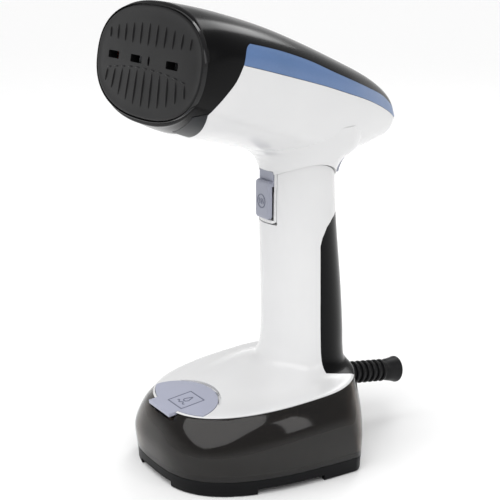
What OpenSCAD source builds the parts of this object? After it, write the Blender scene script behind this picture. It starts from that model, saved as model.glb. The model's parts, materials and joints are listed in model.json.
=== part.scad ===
// Handheld garment steamer that stands on its water tank, with a head that folds back on the handle.
// Millimetres, +Z up, steam plate towards -Y, origin on the floor under the middle of the part.

/* [Base] */
// Width of the base at its widest
base_w = 113; // [96:1:136]
// Reach of the base in front of the origin
base_front = 83.3; // [72:0.1:98]
// Reach of the tank behind the origin
base_rear = 35.6; // [31:0.1:42]
// Height of the joint between bottom plate and tank
seam_z = 9; // [7.5:0.5:11]
// Height of the tank wall above that joint
tank_h = 34.8; // [29:0.2:42]
// Clear height under the skirt of the bottom plate
notch_h = 3.4; // [2:0.2:4.2]
// Diameter of a rubber foot
foot_d = 12; // [9:1:16]
// Half width of the tail of the rear cover
tail_half = 23; // [19:1:27]

/* [Handle] */
// Half width of the handle at the hinge
grip_half = 21.5; // [20:0.5:26]
// Height of the fold hinge
hinge_z = 140; // [125:1:170]
// Wall of the mouldings
wall = 2.2; // [1.8:0.1:2.8]

/* [Fold joint] */
// Radius of the curved joint between handle and head
seam_r = 27.4; // [26.4:0.2:30]
// Gap of the curved joint
fold_gap = 0.5; // [0.4:0.1:0.8]
// Half width of the tongue that carries the trigger
tongue_half = 8.5; // [8:0.25:9.5]
// Diameter of the hinge pin
pin_d = 6; // [5:0.5:7.5]
// Radius of the knuckle drum
drum_r = 15.4; // [13.5:0.1:16.2]
// Gap on each side of the tongue and the drum
side_gap = 0.4; // [0.3:0.1:0.6]
// Radial clearance of the running pins
run_fit = 0.05; // [0.03:0.01:0.1]

/* [Head] */
// Half width of the steam plate
plate_half = 56.5; // [48:0.5:66]
// Half height of the steam plate
plate_rise = 28.3; // [25:0.5:33]
// Thickness of the steam plate
plate_t = 5; // [4:0.5:6.5]
// Reach of the head behind the origin
head_rear = 78.2; // [70:0.2:90]
// Backward lean of the steam plate
plate_tilt = 9.7; // [6:0.1:13]

/* [Trigger] */
// Half width of the trigger
trigger_half = 6.7; // [5.8:0.1:7]
// Height of the raised pad
pad_h = 20; // [17:0.5:23]
// How far the pad stands out
pad_out = 2.5; // [1.5:0.1:3]

/* [Filler] */
// Half width of the filler flap
flap_half = 26.5; // [23:0.5:30]
// Thickness of the filler flap
flap_t = 2; // [1.6:0.1:2.6]
// Half width of the finger tab
tab_half = 11.5; // [9:0.5:14]
// Diameter of the filling hole
fill_d = 15; // [12:0.5:17]

/* [Cord guard] */
// Diameter of the ribbed stem
guard_d = 13.4; // [11.5:0.2:15]
// Bore for the mains lead
cord_d = 7; // [6:0.2:8]
// Length behind the rear wall
guard_l = 46.4; // [40:0.2:56]

/* [Hidden] */
$fn = 48;
sides = 56;        // corners of a moulded section
hinge_y = 8.6;                         // fold hinge behind the origin
white = "#eeeeee";
black = "#1b1b1d";
lavender = "#aeb0c4";
blue = "#5f7fae";
smoke = "#3a3a3a";
metal = "#b9bcc0";
rim_z = seam_z + tank_h + 1;           // top edge of the tank above the origin
slope = 0.075;                         // rise of that edge towards the rear
tail_y = 17.7;                         // front of the rear cover's tail
half = base_w / 2;
grip_gain = grip_half - 21.5;
slot_half = tongue_half + side_gap;    // inner faces of the handle cheeks
cheek_t = 2.2;
tongue_z = hinge_z - 5.8;              // lower end of the tongue
slot_z = tongue_z - 0.6;
up = hinge_z - 140;                    // how far the head rides above its usual place

// ---- curves through stations ----
function catmull(a, b, c, d, t) =
    0.5 * (2 * b + (c - a) * t + (2 * a - 5 * b + 4 * c - d) * t ^ 2 + (3 * b - a - 3 * c + d) * t ^ 3);
function spline(list, u) = let (n = len(list) - 1, i = min(floor(u), n - 1), t = u - i)
    catmull(list[max(i - 1, 0)], list[i], list[i + 1], list[min(i + 2, n)], t);
function signed(v, p) = sign(v) * abs(v) ^ p;

// One closed section in plan. s = [z, half width, widest y, front y, rear y, front power, rear power, slope]
function plan_ring(s, inset = 0, lift = 0) = [for (i = [0:sides - 1])
    let (a = 360 * i / sides, f = sin(a) < 0, n = f ? s[5] : s[6],
        y = s[2] + (f ? s[2] - s[3] - inset : s[4] - s[2] - inset) * signed(sin(a), 2 / n))
    [(s[1] - inset) * signed(cos(a), 2 / n), y, s[0] + s[7] * y + lift]];

// One closed section of the head. s = [y, top z, side z, bottom z, half width, lean]
function head_ring(s, inset = 0) = [for (i = [0:sides - 1])
    let (a = 360 * i / sides, under = sin(a) < 0, n = 2.3,
        h = max((under ? s[2] - s[3] : s[1] - s[2]) - inset, 0.2),
        v = h * signed(sin(a), 2 / n), w = max(s[4] - inset, 0.2))
    [w * signed(cos(a), 2 / n), s[0] + s[5] * v, s[2] + v + up]];

// Skins a stack of rings: capped at both ends, or joined end to end as a tube wall.
module skin(rings, tube = false) {
    n = len(rings[0]);
    k = len(rings);
    walls = [for (j = [0:k - (tube ? 1 : 2)], i = [0:n - 1])
        let (a = j * n + i, b = j * n + (i + 1) % n, c = ((j + 1) % k) * n + (i + 1) % n,
            d = ((j + 1) % k) * n + i)
        each [[a, d, c], [a, c, b]]];
    caps = tube ? [] : [[for (i = [0:n - 1]) i], [for (i = [n - 1:-1:0]) (k - 1) * n + i]];
    polyhedron([for (r = rings) each r], concat(walls, caps), convexity = 8);
}
function reversed(list) = [for (i = [len(list) - 1:-1:0]) list[i]];

// ---- stations ----
base_rows = [
    [seam_z, half - 0.4, 14.5, -base_front + 1, base_rear - 1, 2.95, 1.8, 0],
    [seam_z + 0.31 * tank_h, half + 0.2, 12.7, -base_front, base_rear + 1, 2.9, 1.85, 0],
    [seam_z + 0.6 * tank_h, half - 1, 8.7, -base_front + 1.5, base_rear + 2.5, 2.72, 1.95, 0.03],
    [seam_z + 0.86 * tank_h, half - 5.2, 3.7, -base_front + 4.5, base_rear + 3.6, 2.6, 2.05, 0.06],
    [rim_z, half - 10.5, 0.5, -base_front + 9, base_rear + 4, 2.5, 2.15, slope]];
foot_r = grip_half + 2;
rear_y = base_rear + 4;
stand_rows = [
    [rim_z, half - 10.6, 0.5, -base_front + 9.2, rear_y, 2.5, 2.15, slope],
    [rim_z + 1.2, half - 12, 1.2, -base_front + 10.8, rear_y, 2.5, 2.15, slope],
    [rim_z + 3, half - 23, 6.7, -45.3, rear_y - 0.3, 2.3, 2.1, slope],
    [rim_z + 7, foot_r + 3.6, 13.2, -16.8 - grip_gain, rear_y - 0.5, 2, 2, 0.02],
    [rim_z + 14, foot_r + 1, 14.9, -9.7 - grip_gain, rear_y - 0.7, 2, 2, 0],
    [rim_z + 28, foot_r, 15.3, -8.3 - grip_gain, rear_y - 1 + grip_gain, 2, 2, 0],
    [hinge_z - 43, grip_half + 1.2, 14.1, -8.8 - grip_gain, 36.9 + grip_gain, 2, 2, 0],
    [hinge_z - 4, grip_half, 11.6, -9.9 - grip_gain, 33.1 + grip_gain, 2, 2, 0],
    [hinge_z + 28, grip_half - 0.9, 11.1, -9.5 - grip_gain, 31.7 + grip_gain, 2, 2, 0]];
head_rows = [
    [-78.6, 255.8, 226, 195, plate_half + 0.8, tan(plate_tilt)],
    [-65.3, 254.1, 228, 188, plate_half, 0.06],
    [-47.3, 250.2, 225.5, 183, plate_half - 3, 0],
    [-22.3, 242.7, 219, 176.5, plate_half - 9, 0],
    [2.7, 233, 211.5, 172.5, plate_half - 16, 0],
    [27.7, 222.3, 204, 170.8, plate_half - 25.5, 0],
    [47.7, 213.4, 198, 171, 20.5, 0],
    [62.7, 205, 192.5, 174, 11.5, 0],
    [head_rear - 5.5, 196.5, 188, 177.5, 5, 0],
    [head_rear, 186.3, 185.5, 184.7, 0.6, 0]];
// Neck: from the curved joint up into the head.
neck_rows = [
    [hinge_z + 4, grip_half - 0.2, 11.4, -9.7 - grip_gain, 32.5 + grip_gain, 2, 2, 0],
    [hinge_z + 15, grip_half - 0.4, 11.2, -9.7 - grip_gain, 31.9 + grip_gain, 2, 2, 0],
    [hinge_z + 24, grip_half + 0.6, 12, -10.4 - grip_gain, 34.2 + grip_gain, 2, 2, 0],
    [hinge_z + 32, grip_half + 4, 14.5, -15, 41.5, 2, 2.1, 0],
    [hinge_z + 40, grip_half + 6.5, 16.5, -22, 49, 2, 2.2, 0],
    [hinge_z + 48, grip_half + 7.3, 16.5, -25, 49, 2, 2.2, 0]];

steps = 3;          // rings between two stations
function rows(list, from = 0, to = 99) = let (n = min(to, len(list) - 1))
    [for (i = [from * steps:n * steps]) spline(list, i / steps)];

module solid_plan(list, inset = 0, lift = 0) skin([for (r = rows(list)) plan_ring(r, inset, lift)]);
module solid_head() skin([for (r = reversed(rows(head_rows))) head_ring(r)]);
module head_space(inset) skin(concat([for (r = reversed(rows(head_rows, 0, 8))) head_ring(r, inset)],
    [[for (p = head_ring(head_rows[0], inset)) [p[0], p[1] - 12, p[2]]]]));

// ---- shared cutters ----
module block(x0, x1, y0, y1, z0, z1) translate([x0, y0, z0]) cube([x1 - x0, y1 - y0, z1 - z0]);
module mid(hx, y0, y1, z0, z1) block(-hx, hx, y0, y1, z0, z1);
// Cylinder along X through the hinge line
module on_hinge(r, x0 = -60, x1 = 60) translate([x0, hinge_y, hinge_z]) rotate([0, 90, 0])
    cylinder(r = r, h = x1 - x0, $fn = 96);
// Extrudes a side-view outline (y, z) across the whole width
module across(points, hx = 80) translate([-hx, 0, 0]) rotate([90, 0, 90])
    linear_extrude(2 * hx) polygon(points);
// Round bar or tube from p, turned by axis
module rod(p, axis, d, l, hole = 0) translate(p) rotate(axis) difference() {
    cylinder(d = d, h = l);
    if (hole > 0) translate([0, 0, -1]) cylinder(d = hole, h = l + 2);
}
// A moved frame lying on the sloping top of the base, where the filler flap is
flap_slope = 0.125;
flap_lift = 4.8;                       // height of that plane over the rim, above the origin
module on_top() translate([0, 0, rim_z + flap_lift]) rotate([atan(flap_slope), 0, 0]) children();
// A frame with its origin in the middle of the steam plate, its -Y towards the clothes
plate_y = -81.1;
plate_z = 226 + up;
module at_plate() translate([0, plate_y, plate_z]) rotate([-plate_tilt, 0, 0]) children();
function oval(hx, hz, n = 2.36) = [for (i = [0:sides - 1]) let (a = 360 * i / sides)
    [hx * signed(cos(a), 2 / n), hz * signed(sin(a), 2 / n)]];
// An oval slab between two depths behind the plate's face
module slab(inset, y0, y1) translate([0, y1, 0]) rotate([90, 0, 0])
    linear_extrude(y1 - y0) polygon(oval(plate_half - inset, plate_rise - inset));

// ---- base ----
function low_ring(z, inset) = plan_ring(concat([z], [for (i = [1:7]) base_rows[0][i]]), inset);
screw_spots = [for (x = [-1, 1]) each [[x * (half - 17), -27], [x * 31, 8.7]]];
foot_spots = [for (x = [-1, 1]) each [[x * (half - 20), -48], [x * (half - 19), 15]]];
skirt_in = 0.7;     // how far the skirt of the bottom plate leans in
floor_t = 3;
module base_plate() color(black) difference() {
    skin([low_ring(0.3, skirt_in), low_ring(seam_z - 3, 0.5), low_ring(seam_z, 0)]);
    skin([low_ring(-1, skirt_in + 2.6), low_ring(seam_z - floor_t, 3)]);
    block(-80, 80, -46, -6, -1, notch_h);
    mid(17, -100, -58, -1, notch_h);
    mid(24, 12, 60, -1, notch_h);
    for (p = screw_spots) rod([p[0], p[1], -1], [0, 0, 0], 3.4, 20);
}
module rubber_feet() color("#222222") for (p = foot_spots)
    translate([p[0], p[1], 0]) cylinder(d = foot_d, h = seam_z - floor_t);
boss_h = 12;
module base_screws() color(metal) for (p = screw_spots) {
    rod([p[0], p[1], seam_z - floor_t - 2], [0, 0, 0], 6, 2);
    rod([p[0], p[1], seam_z - floor_t], [0, 0, 0], 3, 11);
}
tail_gap = 0.3;
tank_wall = 2.4;
module tail(gap = 0, z0 = -1) mid(tail_half + gap, tail_y - gap, 80, z0, rim_z + 60);
module tank_space() skin(concat([plan_ring(base_rows[0], tank_wall, tank_wall)],
    [for (r = rows(base_rows, 1)) plan_ring(r, tank_wall)], [plan_ring(base_rows[4], tank_wall, 2)]));
tab_cut = 0.8;
module water_tank() color(smoke, 0.6) difference() {
    solid_plan(base_rows);
    difference() {
        tank_space();
        tail(tail_gap + tank_wall);
        for (p = screw_spots) rod([p[0], p[1], 0], [0, 0, 0], 7, seam_z + boss_h);
    }
    tail(tail_gap);
    mid(tab_half + tab_cut, -base_front - 5, -base_front + 12, rim_z - 9, 90);
    flap_slab(flap_gap, flap_t + 0.3, 8);
    for (p = screw_spots) rod([p[0], p[1], 0], [0, 0, 0], 3, seam_z + boss_h - 1.4);
}
// Closes the tank under the white top; follows the same sloping rim.
cover_t = 2;
cover_drop = 4.2;
cover_in = tank_wall + 1.2;
module cover_plate(inset, z0, t)
    skin([plan_ring(base_rows[4], inset, z0), plan_ring(base_rows[4], inset, z0 + t)]);
hose_y = 6.7;
fill_y = -61.3;
module tank_cover() color("#55585c") difference() {
    cover_plate(cover_in, -cover_drop, cover_t);
    tail(tail_gap + tank_wall + 1.2);
    translate([0, fill_y + 1.2, 0]) cylinder(d = fill_d + 4.8, h = 90);
    translate([0, hose_y, 0]) cylinder(d = 6.4, h = 90);
}
module tank_seal() color("#4a4a4a") difference() {
    cover_plate(tank_wall, -cover_drop, cover_t);
    translate([0, 0, -1]) cover_plate(cover_in, -cover_drop, cover_t + 2);
    tail(tail_gap + tank_wall);
    mid(tab_half + tab_cut + 1, -base_front - 5, -base_front + 12, 0, 90);
}

// ---- handle ----
plate_z0 = hinge_z - 25;               // foot of the cheek plates
rear_slot_z = hinge_z - 3;
module above_hinge(r) difference() {
    mid(80, -80, 100, hinge_z, hinge_z + 80);
    on_hinge(r);
}
module slot(x) {
    mid(x, -80, hinge_y, slot_z, hinge_z + 80);
    mid(x, hinge_y, 100, rear_slot_z, hinge_z + 80);
}
module stand_space() difference() {
    skin(concat([plan_ring(stand_rows[0], wall + 0.4, -6)],
        [for (r = rows(stand_rows)) plan_ring(r, wall, r[0] < rim_z + 10 ? -wall : 0)]));
    for (m = [0, 1]) mirror([m, 0, 0])
        block(slot_half, slot_half + cheek_t, -80, 100, plate_z0, hinge_z + 80);
    above_hinge(seam_r - wall);
}
// Everything that belongs to the black rear cover, less a gap
cover_top = hinge_z;
split_y = 12.2;
flare_z = rim_z + 14;
module rear_region(gap = 0) {
    across([[split_y + gap, flare_z - 1], [split_y + gap, hinge_z - 15.5], [31.7 + gap, cover_top - gap],
        [80, cover_top - gap], [80, flare_z - 1]]);
    translate([0, 0, rim_z - 20]) linear_extrude(flare_z - rim_z + 20) polygon([
        [-foot_r - 6, split_y + gap], [-34 + gap, 28.7], [-34 + gap, 80], [34 - gap, 80], [34 - gap, 28.7],
        [foot_r + 6, split_y + gap]]);
}
flap_mid = -67.3;
flap_depth = 21;
module flap_plan(gap = 0) intersection() {
    translate([0, flap_mid]) polygon([for (i = [0:5:359])
        [(flap_half + gap) * cos(i), (sin(i) < 0 ? 30 : flap_depth + gap) * sin(i)]]);
    union() {
        polygon([for (p = plan_ring(stand_rows[1], -gap)) [p[0], p[1]]]);
        translate([-tab_half - gap, 4.5 - base_front - gap]) square([2 * (tab_half + gap), 20]);
    }
}
module flap_slab(gap, low, high) on_top() translate([0, 0, -low])
    linear_extrude(low + high) flap_plan(gap);
flap_gap = 0.3;
axis_in = 0.7;      // flap axis in front of the flap's rear edge
axis_down = 0.95;   // and below its face
axis_y = flap_mid + flap_depth - axis_in;
barrel_half = 7;
barrel_d = 1.9;
ear = [barrel_half + 0.3, barrel_half + 3.2];
flap_pin_d = 1.1;
module on_flap_axis(d, hx) on_top() translate([-hx, axis_y, -axis_down]) rotate([0, 90, 0])
    cylinder(d = d, h = 2 * hx);
module flap_ears(gap, top) on_top() for (m = [0, 1]) mirror([m, 0, 0])
    block(ear[0] - gap, ear[1] + gap, axis_y - 1.6 - gap, axis_y + 3, -5, top);
seat_t = 2;
module handle_shell() color(white) difference() {
    union() {
        difference() {
            solid_plan(stand_rows);
            stand_space();
        }
        intersection() {
            solid_plan(stand_rows);
            flap_slab(3, flap_t + 0.2 + seat_t, -0.5);
        }
        intersection() {
            solid_plan(stand_rows);
            on_top() mid(ear[1] + 0.6, axis_y - 3, axis_y + 4, -4.5, -0.5);
        }
    }
    above_hinge(seam_r);
    slot(slot_half);
    rear_region();
    difference() {
        flap_slab(flap_gap, flap_t + 0.2, 8);
        flap_ears(0, -0.05);
    }
    on_top() mid(ear[0], axis_y - 1.7, axis_y + 1.7, -3, 2);
    intersection() {
        flap_slab(flap_gap + 1.1, axis_down, 8);
        on_top() mid(flap_half, axis_y - 6, axis_y + 5, -2, 9);
    }
    on_flap_axis(flap_pin_d, ear[1] - 0.6);
    on_top() translate([0, fill_y, -20]) cylinder(d = fill_d + 3, h = 30);
    on_hinge(pin_d / 2 + 1.6, -slot_half - cheek_t - 1, slot_half + cheek_t + 1);
}
module tail_skin() difference() {
    intersection() {
        skin(concat([for (r = rows(base_rows)) plan_ring(r)], [plan_ring(base_rows[4], 0.2, 1)]));
        tail();
    }
    intersection() {
        skin([for (z = [-1, 1]) for (r = [base_rows[z < 0 ? 0 : 4]]) plan_ring(r, wall, 4 * z)]);
        mid(tail_half - wall, tail_y + wall, 80, -1, rim_z + 40);
    }
}
cord_z = rim_z - 10.4;
cord_drop = 7.7;
module at_cord() translate([0, rear_y, cord_z]) rotate([-90 - cord_drop, 0, 0]) children();
module rear_cover() color(black) difference() {
    union() {
        difference() {
            intersection() {
                solid_plan(stand_rows);
                rear_region(0.15);
            }
            stand_space();
        }
        tail_skin();
    }
    slot(slot_half);
    at_cord() translate([0, 0, -12]) cylinder(d = guard_d - 1.6, h = 30);
}
module filler_flap() color(lavender) difference() {
    union() {
        flap_slab(0, flap_t, 0);
        on_flap_axis(barrel_d, barrel_half);
    }
    on_flap_axis(flap_pin_d + 2 * run_fit, barrel_half + 1);
    flap_ears(0.35, 5);
}
module flap_pin() color(metal) on_flap_axis(flap_pin_d, ear[1] - 0.6);
module filler_gasket() color("#7f8187") difference() {
    on_top() translate([0, fill_y, -flap_t - 6]) cylinder(d = fill_d + 2.9, h = 5.7);
    on_top() translate([0, fill_y, -20]) cylinder(d = fill_d, h = 30);
}
module hinge_bushes() color("#c9a86a") for (m = [0, 1]) mirror([m, 0, 0]) difference() {
    union() {
        on_hinge(pin_d / 2 + 1.6, slot_half, slot_half + cheek_t);
        on_hinge(pin_d / 2 + 3, slot_half + cheek_t, slot_half + cheek_t + 1.2);
    }
    on_hinge(pin_d / 2 + run_fit, 0, 40);
}

// ---- cord guard and what is inside the handle ----
ribs = 7;
bell_l = 9;
module cord_guard() color("#161616") at_cord() difference() {
    rotate_extrude() difference() {
        r = guard_d / 2;
        union() {
            translate([0, -wall - 6]) square([r + 2.4, 2.2]);
            translate([0, -wall - 5]) square([r - 0.9, wall + 7]);
            translate([0, 0.3]) square([r, guard_l - bell_l]);
            polygon([[0, guard_l - bell_l - 1], [r - 1, guard_l - bell_l - 1], [r - 1, guard_l - bell_l + 1],
                [r + 1.4, guard_l - 1], [r + 0.9, guard_l], [0, guard_l]]);
        }
        for (i = [0:ribs - 1]) translate([r - 1.3, 3.5 + i * (guard_l - bell_l - 4) / ribs]) square([3, 2]);
    }
    translate([0, 0, -20]) cylinder(d = cord_d + 0.2, h = guard_l + 40);
}
module cord_clamp() color("#303236") at_cord() translate([0, 0, -wall - 14]) difference() {
    translate([-9, -4.5, 0]) cube([18, 9, 7]);
    translate([0, 0, -1]) cylinder(d = cord_d + 0.2, h = 9);
    for (x = [-6.4, 6.4]) translate([x, 5, 3.5]) rotate([90, 0, 0]) cylinder(d = 2.4, h = 10);
}
module terminal_block() color("#e6e2d2") difference() {
    mid(9, 22.7, 31.7, rim_z + 1, rim_z + 9);
    for (x = [-6, 0, 6]) rod([x, 27.2, rim_z], [0, 0, 0], 3.4, 12);
}
pump_y = 13.2;
pump_d = 24;
pump_z = rim_z + 22;
pump_h = 34;
nipple_d = 3.8;
side_x = slot_half + cheek_t + 3.2;    // side of the hinge where the water crosses
module water_pump() color("#c3c4c6") {
    rod([0, pump_y, pump_z], [0, 0, 0], pump_d, pump_h);
    rod([0, pump_y, pump_z + pump_h], [0, 0, 0], 2 * side_x + 5, 3);
    rod([0, hose_y, pump_z - 6], [0, 0, 0], nipple_d, 7);
    rod([-side_x, hinge_y, pump_z + pump_h + 2], [0, 0, 0], 2.8, 8);
}
module pump_cradle() color("#55585c") difference() {
    union() {
        rod([0, pump_y, pump_z + 12], [0, 0, 0], pump_d + 4, 6);
        mid(18.4, pump_y - 3, pump_y + 3, pump_z + 13, pump_z + 17);
    }
    rod([0, pump_y, pump_z], [0, 0, 0], pump_d, 40);
    for (x = [-16, 16]) rod([x, pump_y, pump_z], [0, 0, 0], 2.6, 40);
}
hose_d = 6;
module suction_hose() color("#d8d8d8")
    rod([0, hose_y, seam_z + 6], [0, 0, 0], hose_d, pump_z - seam_z - 8, nipple_d);
module water_filter() color("#4d5a4f") difference() {
    rod([0, hose_y, seam_z + tank_wall + 0.4], [0, 0, 0], 12, 9);
    rod([0, hose_y, seam_z + 6], [0, 0, 0], hose_d, 20);
    for (a = [0:45:179]) translate([0, hose_y, seam_z + 4.2]) rotate([90, 0, a]) translate([0, 0, -9])
        cylinder(d = 1.4, h = 18);
}
module delivery_hose() color("#d8d8d8")
    rod([-side_x, hinge_y, pump_z + pump_h + 3], [0, 0, 0], 5, hinge_z - 7 - (pump_z + pump_h + 3), 2.8);
module swivel_elbow() color("#8d9096") difference() {
    union() {
        on_hinge(5, -side_x - 2.6, -side_x + 1.8);
        rod([-side_x, hinge_y, hinge_z - 14], [0, 0, 0], 2.8, 12);
    }
    on_hinge(pin_d / 2 + run_fit, -side_x - 1.2, 0);
    rod([-side_x, hinge_y, hinge_z - 20], [0, 0, 0], 1.4, 20);
}
module control_board() color("#2f6b45") difference() {
    mid(10.5, 29.2, 30.8, rim_z + 16, pump_z + 26);
    for (x = [-7.5, 7.5], z = [rim_z + 20, pump_z + 22]) rod([x, 20, z], [-90, 0, 0], 2.4, 20);
}

// ---- head ----
pin_out = side_x - 0.4;
module hinge_pin() color(metal) difference() {
    union() {
        on_hinge(pin_d / 2, -pin_out, slot_half + cheek_t + 2);
        on_hinge(pin_d / 2 + 1.4, slot_half + cheek_t + 1.5, slot_half + cheek_t + 3);
    }
    on_hinge(1.2, -40, 0.6);
    rod([0, hinge_y, hinge_z], [0, 0, 0], 2.4, 20);
}
drum_half = tongue_half - 0.1;
web_half = 6;
web_y = 7;
floor_r = seam_r + fold_gap;
flange_z = floor_r + wall + 0.1;
module fold_knuckle() color("#9da0a5") difference() {
    union() {
        on_hinge(drum_r, -drum_half, drum_half);
        mid(web_half, hinge_y - web_y, hinge_y + web_y, hinge_z + 10, hinge_z + flange_z + 3);
        mid(12, hinge_y - web_y, hinge_y + web_y, hinge_z + flange_z, hinge_z + flange_z + 3);
        rod([0, hinge_y, hinge_z + flange_z + 2], [0, 0, 0], 3.8, 7);
    }
    on_hinge(pin_d / 2);
    rod([0, hinge_y, hinge_z], [0, 0, 0], 2.4, 60);
    for (x = [-9, 9]) rod([x, hinge_y, hinge_z + 20], [0, 0, 0], 2.4, 40);
}
module knuckle_screws() color(metal) for (x = [-9, 9]) {
    rod([x, hinge_y, hinge_z + flange_z - 1.6], [0, 0, 0], 2.4, 4.7);
    rod([x, hinge_y, hinge_z + flange_z + 3], [0, 0, 0], 4.6, 1.6);
}
// Side outlines (y, z) of the colour splits of the head
low_line = [[-57.6, 228.2], [-40.1, 223.7], [-3, 213.7], [18.9, 207.1], [38.8, 201.1], [54.4, 195.6],
    [68.2, 189.9], [84, 181.5]];
high_line = [[-50.8, 237.6], [-40.9, 235.4], [-27.6, 232], [-9.3, 226.2], [10, 218.7], [33.4, 210.2],
    [56.1, 202], [65.7, 197.4], [84, 186]];
front_line = [[-57.6, 228.2], [-61.8, 220.8], [-67.2, 214], [-71.7, 207.5], [-75.2, 200], [-74.8, 194],
    [-74.3, 188], [-74, 170]];
function raised(list, y = 0, z = 0) = [for (p = list) [p[0] + y, p[1] + z + up]];
function tail_of(list) = [for (i = [1:len(list) - 1]) list[i]];
stripe_nose = [[-57.6, 228.2], [-55.3, 234.1], [-53.3, 236.6], [-50.8, 237.6]];
module below_stripe(gap) across(concat(raised(reversed(front_line), gap),
    raised(tail_of(low_line), 0, -gap), [[100, 140 + up], [-74, 140 + up]]));
module stripe_band(gap) across(concat(raised(tail_of(high_line), 0, -gap),
    raised(reversed(tail_of(low_line)), 0, gap), raised(stripe_nose, gap)));
module head_wall() difference() {
    solid_head();
    head_space(wall);
}
pocket_low = tongue_z + 1.7;
pocket_high = hinge_z + 23.4;
button_z0 = hinge_z + 20;
button_z1 = hinge_z + 27;
button_half = 11;
split = 0.1;
module tongue_blank() difference() {
    intersection() {
        solid_plan(stand_rows);
        mid(tongue_half, -40, hinge_y - 4, tongue_z, hinge_z + 27);
        translate([0, 20, 0]) rotate([90, 0, 0]) linear_extrude(80) union() {
            translate([-tongue_half, tongue_z + 3]) square([2 * tongue_half, 50]);
            translate([-tongue_half + 3, tongue_z]) square([2 * tongue_half - 6, 50]);
            for (x = [-1, 1]) translate([x * (tongue_half - 3), tongue_z + 3]) circle(3);
        }
    }
    on_hinge(drum_r + 0.2);
}
module head_shell() color(white) difference() {
    union() {
        difference() {
            intersection() {
                union() {
                    solid_head();
                    solid_plan(neck_rows);
                }
                below_stripe(split);
            }
            on_hinge(floor_r);
            mid(80, -80, 80, 0, hinge_z + 10);
            head_space(wall);
            difference() {
                solid_plan(neck_rows, wall);
                on_hinge(floor_r + wall);
            }
        }
        tongue_blank();
    }
    mid(web_half + 0.2, hinge_y - web_y - 0.2, hinge_y + web_y + 0.2, hinge_z + 8, hinge_z + 40);
    mid(slot_in, -60, hinge_y - 9, pocket_low, pocket_high);
    mid(button_half + 0.3, 26, 80, button_z0 - 0.3, button_z1 + 0.3);
    mid(latch_half + 0.5, 16.2, 29, hinge_z + 12, button_z0 + 9);
    for (x = [-9, 9]) rod([x, hinge_y, hinge_z + 20], [0, 0, 0], 2.4, 20);
    on_trigger_axis(trigger_pin_d / 2, tongue_half - 0.4);
}
module stripe(side) color(blue) intersection() {
    head_wall();
    stripe_band(split);
    block(side < 0 ? -90 : 0.05, side < 0 ? -0.05 : 90, -90, 90, 100, 400);
}
module stripe_left() stripe(-1);
module stripe_right() stripe(1);
module top_cover() color(black) difference() {
    head_wall();
    below_stripe(0);
    stripe_band(0);
}
rim_out = 0.8;
module front_bezel() color(black) at_plate() difference() {
    slab(-rim_out, -0.4, 2.2);
    slab(-0.25, -3, 6);
}
vents = [[-36.6, 12.4, 3.9], [-10.7, 12.4, 3.9], [27.3, 12, 3.9]];
vent_z = 0.6;
plate_lip = 2.2;    // thickness of the plate's outer edge
module steam_plate() color("#26272a") at_plate() difference() {
    union() {
        slab(0, 0, plate_lip);
        slab(2, 1, plate_t);
    }
    for (v = vents) translate([v[0] - v[1] / 2, -1, vent_z - v[2] / 2]) cube([v[1], plate_t + 3, v[2]]);
    translate([3, -1, vent_z]) rotate([-90, 0, 0]) cylinder(d = 3.4, h = plate_t + 3);
    for (x = [-1, 1]) translate([x * 40, 2, -8]) rotate([-90, 0, 0]) cylinder(d = 2.4, h = plate_t);
}
seal_t = 1.6;
chamber_in = 8;
chamber_t = 19;
lid_t = 2.5;
back0 = plate_t + seal_t;
back1 = back0 + chamber_t;
module plate_seal() color("#c55f3f") at_plate() difference() {
    slab(chamber_in, plate_t, back0);
    slab(chamber_in + 4, 0, back0 + 1);
}
element_d = 6.5;
element_x = 24;
element_z = 8;
module element_path(d) {
    for (z = [-1, 1]) translate([-element_x, 0, z * element_z]) rotate([0, 90, 0])
        cylinder(d = d, h = 2 * element_x);
    translate([-element_x, 0, 0]) rotate([90, 0, 0]) rotate([0, 0, 90])
        rotate_extrude(angle = 180) translate([element_z, 0]) circle(d = d);
    for (z = [-1, 1]) translate([element_x, 0, z * element_z]) {
        sphere(d = d);
        rotate([-90, 0, 0]) cylinder(d = d, h = 12);
    }
}
element_y = back1 - element_d / 2 - 0.2;
module steam_chamber() color("#a9abad") at_plate() difference() {
    slab(chamber_in, back0, back1);
    slab(chamber_in + 4.5, back0 - 1, back0 + 6);
    translate([0, element_y, 0]) element_path(element_d);
    for (z = [-1, 1]) block(-element_x, element_x, element_y, back1 + 1, z * element_z - element_d / 2,
        z * element_z + element_d / 2);
    translate([-element_x, element_y, 0]) rotate([-90, 0, 0]) linear_extrude(10) difference() {
        intersection() {
            circle(r = element_z + element_d / 2);
            translate([-20, -20]) square([20, 40]);
        }
        circle(r = element_z - element_d / 2);
    }
    for (x = [-1, 1]) translate([x * 40, back0 - 1, 0]) rotate([-90, 0, 0]) cylinder(d = 2.4, h = 40);
    translate([0, back0, 0]) rotate([-90, 0, 0]) cylinder(d = 2.4, h = 40);
}
module chamber_lid() color("#8f9194") at_plate() difference() {
    slab(chamber_in, back1, back1 + lid_t);
    for (z = [-1, 1]) translate([element_x, 0, z * element_z]) rotate([-90, 0, 0])
        cylinder(d = element_d, h = 60);
    for (x = [-1, 1]) translate([x * 40, 0, 0]) rotate([-90, 0, 0]) cylinder(d = 2.4, h = 60);
    rotate([-90, 0, 0]) cylinder(d = 3.8, h = 60);
}
module heating_element() color("#7a6a5c") at_plate() translate([0, element_y, 0]) element_path(element_d);
module chamber_screws() color(metal) at_plate() for (x = [-1, 1])
    translate([x * 40, back1 - 8, 0]) rotate([-90, 0, 0]) {
    cylinder(d = 2.4, h = 8 + lid_t);
    translate([0, 0, 8 + lid_t]) cylinder(d = 5, h = 1.8);
}
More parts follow.
